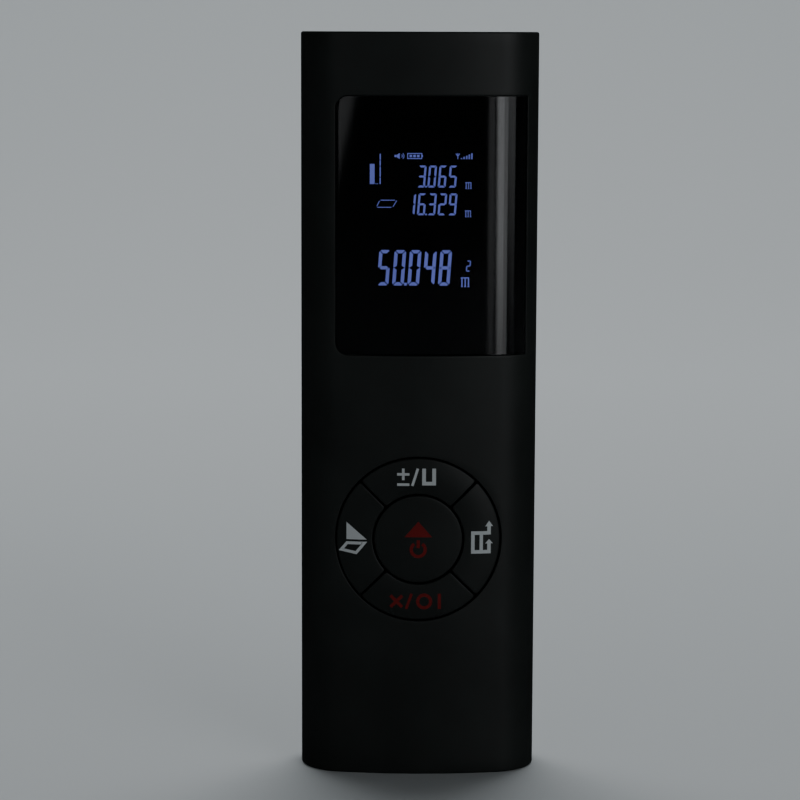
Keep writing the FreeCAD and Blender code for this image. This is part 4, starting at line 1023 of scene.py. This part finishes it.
def moulded(name, tint, roughness, grain=4200.0, relief=0.006 * MM, variation=0.12, specular=0.5):
    """Moulded plastic: a fine even grain, slight mottling of its colour and of its gloss."""
    nodes, sway = Nodes(name), 0.025
    mottle = nodes.noise(90.0, 3.0)
    fine = nodes.noise(grain, 2.0)
    mixed = nodes.ramp(mottle, scaled(tint, 1 - variation), scaled(tint, 1 + variation))
    nodes.link(mixed, nodes.shader.inputs["Base Color"])
    nodes.link(nodes.spread(mottle, roughness - sway, roughness + sway), nodes.shader.inputs["Roughness"])
    nodes.bump(fine, relief)
    nodes.set(Specular_IOR_Level=specular)
    return nodes.material


def metal(name, tint, roughness, stretch=(1, 1, 40)):
    """Worked metal: long fine marks along one direction in its gloss and relief."""
    nodes = Nodes(name)
    marks = nodes.noise(300.0, 3.0, stretch)
    nodes.link(nodes.ramp(marks, scaled(tint, 0.85), scaled(tint, 1.1)), nodes.shader.inputs["Base Color"])
    nodes.link(nodes.spread(marks, roughness * 0.8, roughness * 1.3), nodes.shader.inputs["Roughness"])
    nodes.bump(marks, 0.004 * MM, 0.5)
    nodes.set(Metallic=1.0)
    return nodes.material


def clear(name, tint, roughness=0.02, index=1.49, ripple=0.0):
    """Clear or tinted glass or acrylic, with faint wipe marks in its gloss and upright ripples."""
    nodes = Nodes(name)
    haze = nodes.noise(45.0, 4.0, (1, 1, 0.3))
    nodes.link(nodes.spread(haze, roughness, roughness * 2.2), nodes.shader.inputs["Roughness"])
    nodes.bump(nodes.noise(420.0, 1.0, (1, 0, 0.02)), ripple)
    nodes.set(Base_Color=tint, Transmission_Weight=1.0, IOR=index)
    return nodes.material


def laminate(name, tint):
    """Circuit board: solder mask with the tracks under it as a rectangular pattern."""
    nodes = Nodes(name)
    tracks = nodes.add("ShaderNodeTexBrick")
    tracks.inputs["Scale"].default_value = 420.0
    tracks.inputs["Mortar Size"].default_value = 0.05
    nodes.link(nodes.place.outputs["Object"], tracks.inputs["Vector"])
    mixed = nodes.ramp(tracks.outputs["Fac"], tint, scaled(tint, 1.7), 0.1, 0.9)
    nodes.link(mixed, nodes.shader.inputs["Base Color"])
    nodes.bump(tracks.outputs["Fac"], 0.01 * MM, 0.6)
    nodes.set(Roughness=0.35)
    return nodes.material


def lit(name, tint, power):
    """The display's light: even over each segment, with the faint unevenness of a backlight."""
    nodes = Nodes(name)
    cloud = nodes.noise(160.0, 1.0)
    nodes.link(nodes.ramp(cloud, scaled(tint, 0.88), tint), nodes.shader.inputs["Emission Color"])
    nodes.set(Base_Color=(0.01, 0.01, 0.02), Emission_Strength=power, Roughness=0.5)
    return nodes.material


def slot_materials():
    """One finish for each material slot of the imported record."""
    finish = settings("finish")
    rough, glass = finish.housing_gloss, 1.52
    fine = 6000  # a grain too fine to see, for prints and films
    return {
        "housing_plastic": moulded("housing_plastic", finish.housing, rough, specular=0.42),
        "key_plastic": moulded("key_plastic", finish.keys, rough, 5200, 0.004 * MM, specular=0.36),
        "window_plastic": clear("window_plastic", finish.window, 0.03, ripple=0.004 * MM),
        "cap_plastic": moulded("cap_plastic", scaled(finish.housing, 0.9), rough + 0.05, 3600, 0.01 * MM),
        "tape": moulded("mask_print", (0.0006, 0.0006, 0.0007), 0.6, fine, 0.001 * MM, specular=0.1),
        "label_film": moulded("label_film", (0.035, 0.037, 0.038), 0.35, 2500, 0.002 * MM),
        "optical_glass": clear("coated_glass", (0.86, 0.92, 0.98), 0.01, glass),
        "display_glass": clear("display_glass", (0.30, 0.33, 0.36), 0.02, glass),
        "polariser": moulded("polariser", (0.0010, 0.0010, 0.0014), 0.30, fine, 0.0005 * MM, specular=0.2),
        "light_guide": moulded("light_guide", (0.60, 0.66, 0.78), 0.2, 2500, 0.002 * MM),
        "white_plastic": moulded("white_plastic", (0.70, 0.71, 0.69), 0.45),
        "board_laminate": laminate("board_laminate", (0.008, 0.085, 0.040)),
        "chip_resin": moulded("chip_resin", (0.018, 0.018, 0.019), 0.55, 3000),
        "steel": metal("plated_steel", (0.60, 0.61, 0.62), 0.28),
        "brass": metal("turned_brass", (0.72, 0.50, 0.18), 0.25, (1, 1, 60)),
        "bench_alloy": moulded("bench_paint", (0.012, 0.012, 0.013), 0.65, 2600, 0.01 * MM),
        "silicone": moulded("silicone", (0.16, 0.17, 0.17), 0.7, 2600),
        "foam": moulded("foam", (0.02, 0.02, 0.021), 0.95, 1500, 0.05 * MM),
        "cell_foil": metal("cell_foil", (0.62, 0.63, 0.65), 0.35, (4, 4, 4)),
        "flex_film": moulded("flex_film", (0.42, 0.17, 0.03), 0.3, 1200),
        "lead_red": moulded("lead_red", (0.35, 0.012, 0.012), 0.5),
        "lead_black": moulded("lead_black", (0.012, 0.012, 0.012), 0.5),
        "gold_contacts": metal("gold_contacts", (0.80, 0.58, 0.25), 0.25),
        "carrier_plastic": moulded("carrier_plastic", (0.03, 0.033, 0.036), 0.5),
        "filter_glass": clear("filter_glass", (0.45, 0.03, 0.04), 0.02, glass),
    }


MATERIALS = {}


def material(slot):
    """The finish of a record slot or of a print, made once."""
    if not MATERIALS:
        finish, ink = settings("finish"), (0.5, 6000, 0.002 * MM)
        MATERIALS.update(slot_materials())
        MATERIALS.update(
            white_ink=moulded("white_ink", finish.white_ink, *ink, 0.04, 0.2),
            red_ink=moulded("red_ink", finish.red_ink, *ink, 0.06, 0.12),
            segments=lit("segments", finish.segments, finish.segment_power),
            label_line=moulded("label_line", (0.10, 0.105, 0.11), 0.4, 5000, 0.001 * MM),
        )
    return MATERIALS[slot]


# ----------------------------------------------------------------- operators


class METER_OT_finishes(bpy.types.Operator):
    """Give every carried-over node the finish of its slot"""

    bl_idname = "meter.finishes"
    bl_label = "Finishes"

    def execute(self, context):
        for part in frame["record"]["subparts"]:
            mesh = frame["nodes"][part["node"]].data
            mesh.materials.clear()
            mesh.materials.append(material(part["material_slot"]))
        return {"FINISHED"}


class METER_OT_housing(bpy.types.Operator):
    """Make the housing shell with its recess and openings"""

    bl_idname = "meter.housing"
    bl_label = "Housing"

    def execute(self, context):
        build_housing(material("housing_plastic"))
        return {"FINISHED"}


class METER_OT_window(bpy.types.Operator):
    """Make the lens plate and the black print behind it"""

    bl_idname = "meter.window"
    bl_label = "Window"

    def execute(self, context):
        build_lens(material("window_plastic"))
        build_mask(material("tape"))
        return {"FINISHED"}


class METER_OT_label(bpy.types.Operator):
    """Make the blank rear label"""

    bl_idname = "meter.label"
    bl_label = "Rear label"

    def execute(self, context):
        build_label(material("label_film"), material("label_line"))
        return {"FINISHED"}


class METER_OT_keys(bpy.types.Operator):
    """Make the five key caps"""

    bl_idname = "meter.keys"
    bl_label = "Keys"

    def execute(self, context):
        for name in RING_KEYS:
            build_ring_key(name, material("key_plastic"))
        build_centre_key(material("key_plastic"))
        return {"FINISHED"}


class METER_OT_signs(bpy.types.Operator):
    """Print the signs on the keys"""

    bl_idname = "meter.signs"
    bl_label = "Key signs"

    def execute(self, context):
        sizes = settings("wheel")
        for name, signs, ink in (
            ("unit", unit_signs, "white_ink"),
            ("reference", reference_signs, "white_ink"),
            ("off", off_signs, "red_ink"),
            ("area", area_signs, "white_ink"),
            ("measure", measure_signs, "red_ink"),
        ):
            top = centre_top if name == "measure" else ring_top
            target = (f"{name}_key", "key_plastic")
            printed(f"{name}_sign", signs(sizes.stroke), top, sizes.ink, material(ink), *target, WHEEL_Z)
        return {"FINISHED"}


class METER_OT_display(bpy.types.Operator):
    """Light the display's segments"""

    bl_idname = "meter.display"
    bl_label = "Display"

    def execute(self, context):
        def flat(x, z):
            """The polariser's front, level everywhere."""
            return np.full(np.shape(x), POLARISER_LOW.y)

        lift = 0.03 * MM
        for name, plans in (("display_figures", figure_plans()), ("display_status", status_plans())):
            printed(name, plans, flat, lift, material("segments"), "housing", "light_guide")
        return {"FINISHED"}


class METER_OT_stage(bpy.types.Operator):
    """Set up the floor, the backdrop, the light and the camera"""

    bl_idname = "meter.stage"
    bl_label = "Stage"

    def execute(self, context):
        build_stage()
        build_lights()
        build_camera()
        return {"FINISHED"}


# --------------------------------------------------------------------- stage


def build_stage():
    """A round paper sweep: a flat floor whose rim bends up through a quarter circle into a wall.

    A point lies at centre + radius (sin a, cos a), with the radius and the height from the profile.
    """
    centre_y, hub, reach, bend, rise = -1.05, 0.1, 2.0, 0.45, 1.3
    floor_rows, bend_rows, columns = 7, 25, 96
    floor = np.linspace(hub, reach - bend, floor_rows, endpoint=False)
    turn = np.linspace(0, math.pi / 2, bend_rows)
    radius = np.concatenate([floor, reach - bend + bend * np.sin(turn), [reach]])
    height = np.concatenate([np.zeros(floor_rows), bend - bend * np.cos(turn), [rise]])
    around = np.arange(columns) * 2 * math.pi / columns
    x, y = radius[:, None] * np.sin(around), centre_y + radius[:, None] * np.cos(around)
    points = np.stack([x, y, np.broadcast_to(height[:, None], x.shape)], axis=-1)
    index = np.arange(x.size).reshape(x.shape)
    beside = np.roll(index, -1, axis=1)
    quads = np.stack([index[:-1], index[1:], beside[1:], beside[:-1]], axis=-1).reshape(-1, 4)
    mesh = bpy.data.meshes.new("paper_sweep")
    mesh.from_pydata(points.reshape(-1, 3).tolist(), [], quads.tolist() + [index[0, ::-1].tolist()])
    mesh.shade_smooth()
    nodes = Nodes("paper")
    tint = tuple(settings("stage").paper)
    mixed = nodes.ramp(nodes.noise(6.0, 3.0), scaled(tint, 0.99), tint)
    nodes.link(mixed, nodes.shader.inputs["Base Color"])
    nodes.set(Roughness=0.9, Specular_IOR_Level=0.1)
    mesh.materials.append(nodes.material)
    sheet = bpy.data.objects.new("paper_sweep", mesh)
    bpy.context.scene.collection.objects.link(sheet)
    sheet.visible_glossy = False


def soft_box(name, azimuth, elevation, size, radiance, roll=0.0, distance=0.9):
    """A rectangular light that faces the meter; azimuth 0 is the camera's side and 90 is to its right.

    Its power is its radiance times pi times its area, so that its size does not change how bright it looks.
    """
    around, up = math.radians(azimuth), math.radians(elevation)
    away = Vector((math.sin(around) * math.cos(up), -math.cos(around) * math.cos(up), math.sin(up)))
    data = bpy.data.lights.new(name, "AREA")
    data.shape = "RECTANGLE"
    data.size, data.size_y = size
    data.energy = radiance * math.pi * size[0] * size[1]
    data.color = (0.96, 0.98, 1.0)
    lamp = bpy.data.objects.new(name, data)
    bpy.context.scene.collection.objects.link(lamp)
    lamp.location = Vector((0.0, 0.0, HEIGHT / 2)) + away * distance
    lamp.rotation_mode = "QUATERNION"
    facing = (-away).to_track_quat("-Z", "Y")
    lamp.rotation_quaternion = facing @ Quaternion((0.0, 0.0, 1.0), math.radians(roll))
    return lamp


def soften(lamp, left, right, low):
    """Fades a box of light towards three edges; each number is the share of the side that the fade takes.

    The strength is the product of three smooth steps over the light's own two parameters.
    """
    lamp.data.use_nodes = True
    tree = lamp.data.node_tree
    place = tree.nodes.new("ShaderNodeSeparateXYZ")
    tree.links.new(tree.nodes.new("ShaderNodeNewGeometry").outputs["Parametric"], place.inputs[0])
    level = None
    for output, *values in (("X", 0, left, 0, 1), ("X", 1 - right, 1, 1, 0), ("Y", 0, low, 0, 1)):
        fade = tree.nodes.new("ShaderNodeMapRange")
        fade.interpolation_type = "SMOOTHSTEP"
        for name, value in zip(("From Min", "From Max", "To Min", "To Max"), values):
            fade.inputs[name].default_value = value
        tree.links.new(place.outputs[output], fade.inputs["Value"])
        if level:
            both = tree.nodes.new("ShaderNodeMath")
            both.operation = "MULTIPLY"
            tree.links.new(level, both.inputs[0])
            tree.links.new(fade.outputs["Result"], both.inputs[1])
            level = both.outputs[0]
        else:
            level = fade.outputs["Result"]
    tree.links.new(level, tree.nodes["Emission"].inputs["Strength"])


def build_lights():
    """A bright box from the right with dimmer ones beside it, one from the left and one overhead.

    A row holds a name, an azimuth, an elevation, a size, a radiance, a roll and the fades of soften. The
    upright boxes are what the window shows; the one overhead is kept out of reflections.
    """
    for name, azimuth, elevation, size, radiance, roll, fades in (
        ("right_inner", 21.2, 12, (0.040, 0.8), 0.40, 0, (0.5, 0.05, 0.22)),
        ("right_main", 26.6, 12, (0.126, 0.8), 2.1, 0, (0.12, 0.25, 0.22)),
        ("right_next", 34.5, 13, (0.126, 0.86), 1.35, -3, (0.02, 0.06, 0.22)),
        ("right_outer", 49.0, 17, (0.36, 0.8), 0.65, -4, (0.03, 0.1, 0.2)),
        ("left_box", -26.7, 14.3, (0.2, 0.5), 0.42, 28, (0.1, 0.06, 0.05)),
    ):
        soften(soft_box(name, azimuth, elevation, size, radiance, roll), *fades)
    over = soft_box("over_box", 180, 58, (1.1, 0.7), 3.3, distance=1.1)
    over.visible_glossy = False
    world = bpy.data.worlds.new("room")
    world.use_nodes = True
    background = world.node_tree.nodes["Background"]
    background.inputs["Color"].default_value = (0.9, 0.95, 1.0, 1.0)
    background.inputs["Strength"].default_value = 0.0115
    bpy.context.scene.world = world


def build_camera():
    """The camera stands level with the meter's upper edge and looks down at it."""
    sizes = settings("stage")
    data = bpy.data.cameras.new("camera")
    data.sensor_width = 36.0
    data.lens = sizes.focal_length
    camera = bpy.data.objects.new("camera", data)
    bpy.context.scene.collection.objects.link(camera)
    camera.location = (-sizes.camera_side, -sizes.camera_distance, HEIGHT)
    camera.rotation_mode = "XYZ"
    camera.rotation_euler = (math.pi / 2 - sizes.camera_pitch, sizes.camera_roll, 0.0)
    bpy.context.scene.camera = camera


# ------------------------------------------------------------------ the panel

STEPS = ("finishes", "housing", "window", "label", "keys", "signs", "display", "stage")

GROUPS = {
    "housing": HousingSettings,
    "window": WindowSettings,
    "wheel": WheelSettings,
    "display": DisplaySettings,
    "finish": FinishSettings,
    "stage": StageSettings,
}


class METER_PT_panel(bpy.types.Panel):
    """The steps that finish the meter"""

    bl_label = "Laser distance meter"
    bl_idname = "METER_PT_panel"
    bl_space_type = "VIEW_3D"
    bl_region_type = "UI"
    bl_category = "Meter"

    def draw(self, context):
        for name, group in GROUPS.items():
            box = self.layout.box()
            box.label(text=name.capitalize())
            for value in group.__annotations__:
                box.prop(settings(name), value)
        for step in STEPS:
            self.layout.operator(f"meter.{step}")

CLASSES = (
    *GROUPS.values(),
    METER_OT_finishes,
    METER_OT_housing,
    METER_OT_window,
    METER_OT_label,
    METER_OT_keys,
    METER_OT_signs,
    METER_OT_display,
    METER_OT_stage,
    METER_PT_panel,
)


def register():
    """Registers the classes and hangs one group of values for each heading on the scene."""
    for item in CLASSES:
        bpy.utils.register_class(item)
    for name, group in GROUPS.items():
        setattr(bpy.types.Scene, f"meter_{name}", bpy.props.PointerProperty(type=group))


def unregister():
    """Undoes register, in the opposite order."""
    for name in GROUPS:
        delattr(bpy.types.Scene, f"meter_{name}")
    for item in reversed(CLASSES):
        bpy.utils.unregister_class(item)


def main():
    """Runs the steps in order."""
    register()
    for step in STEPS:
        getattr(bpy.ops.meter, step)()


if __name__ == "__main__":
    main()
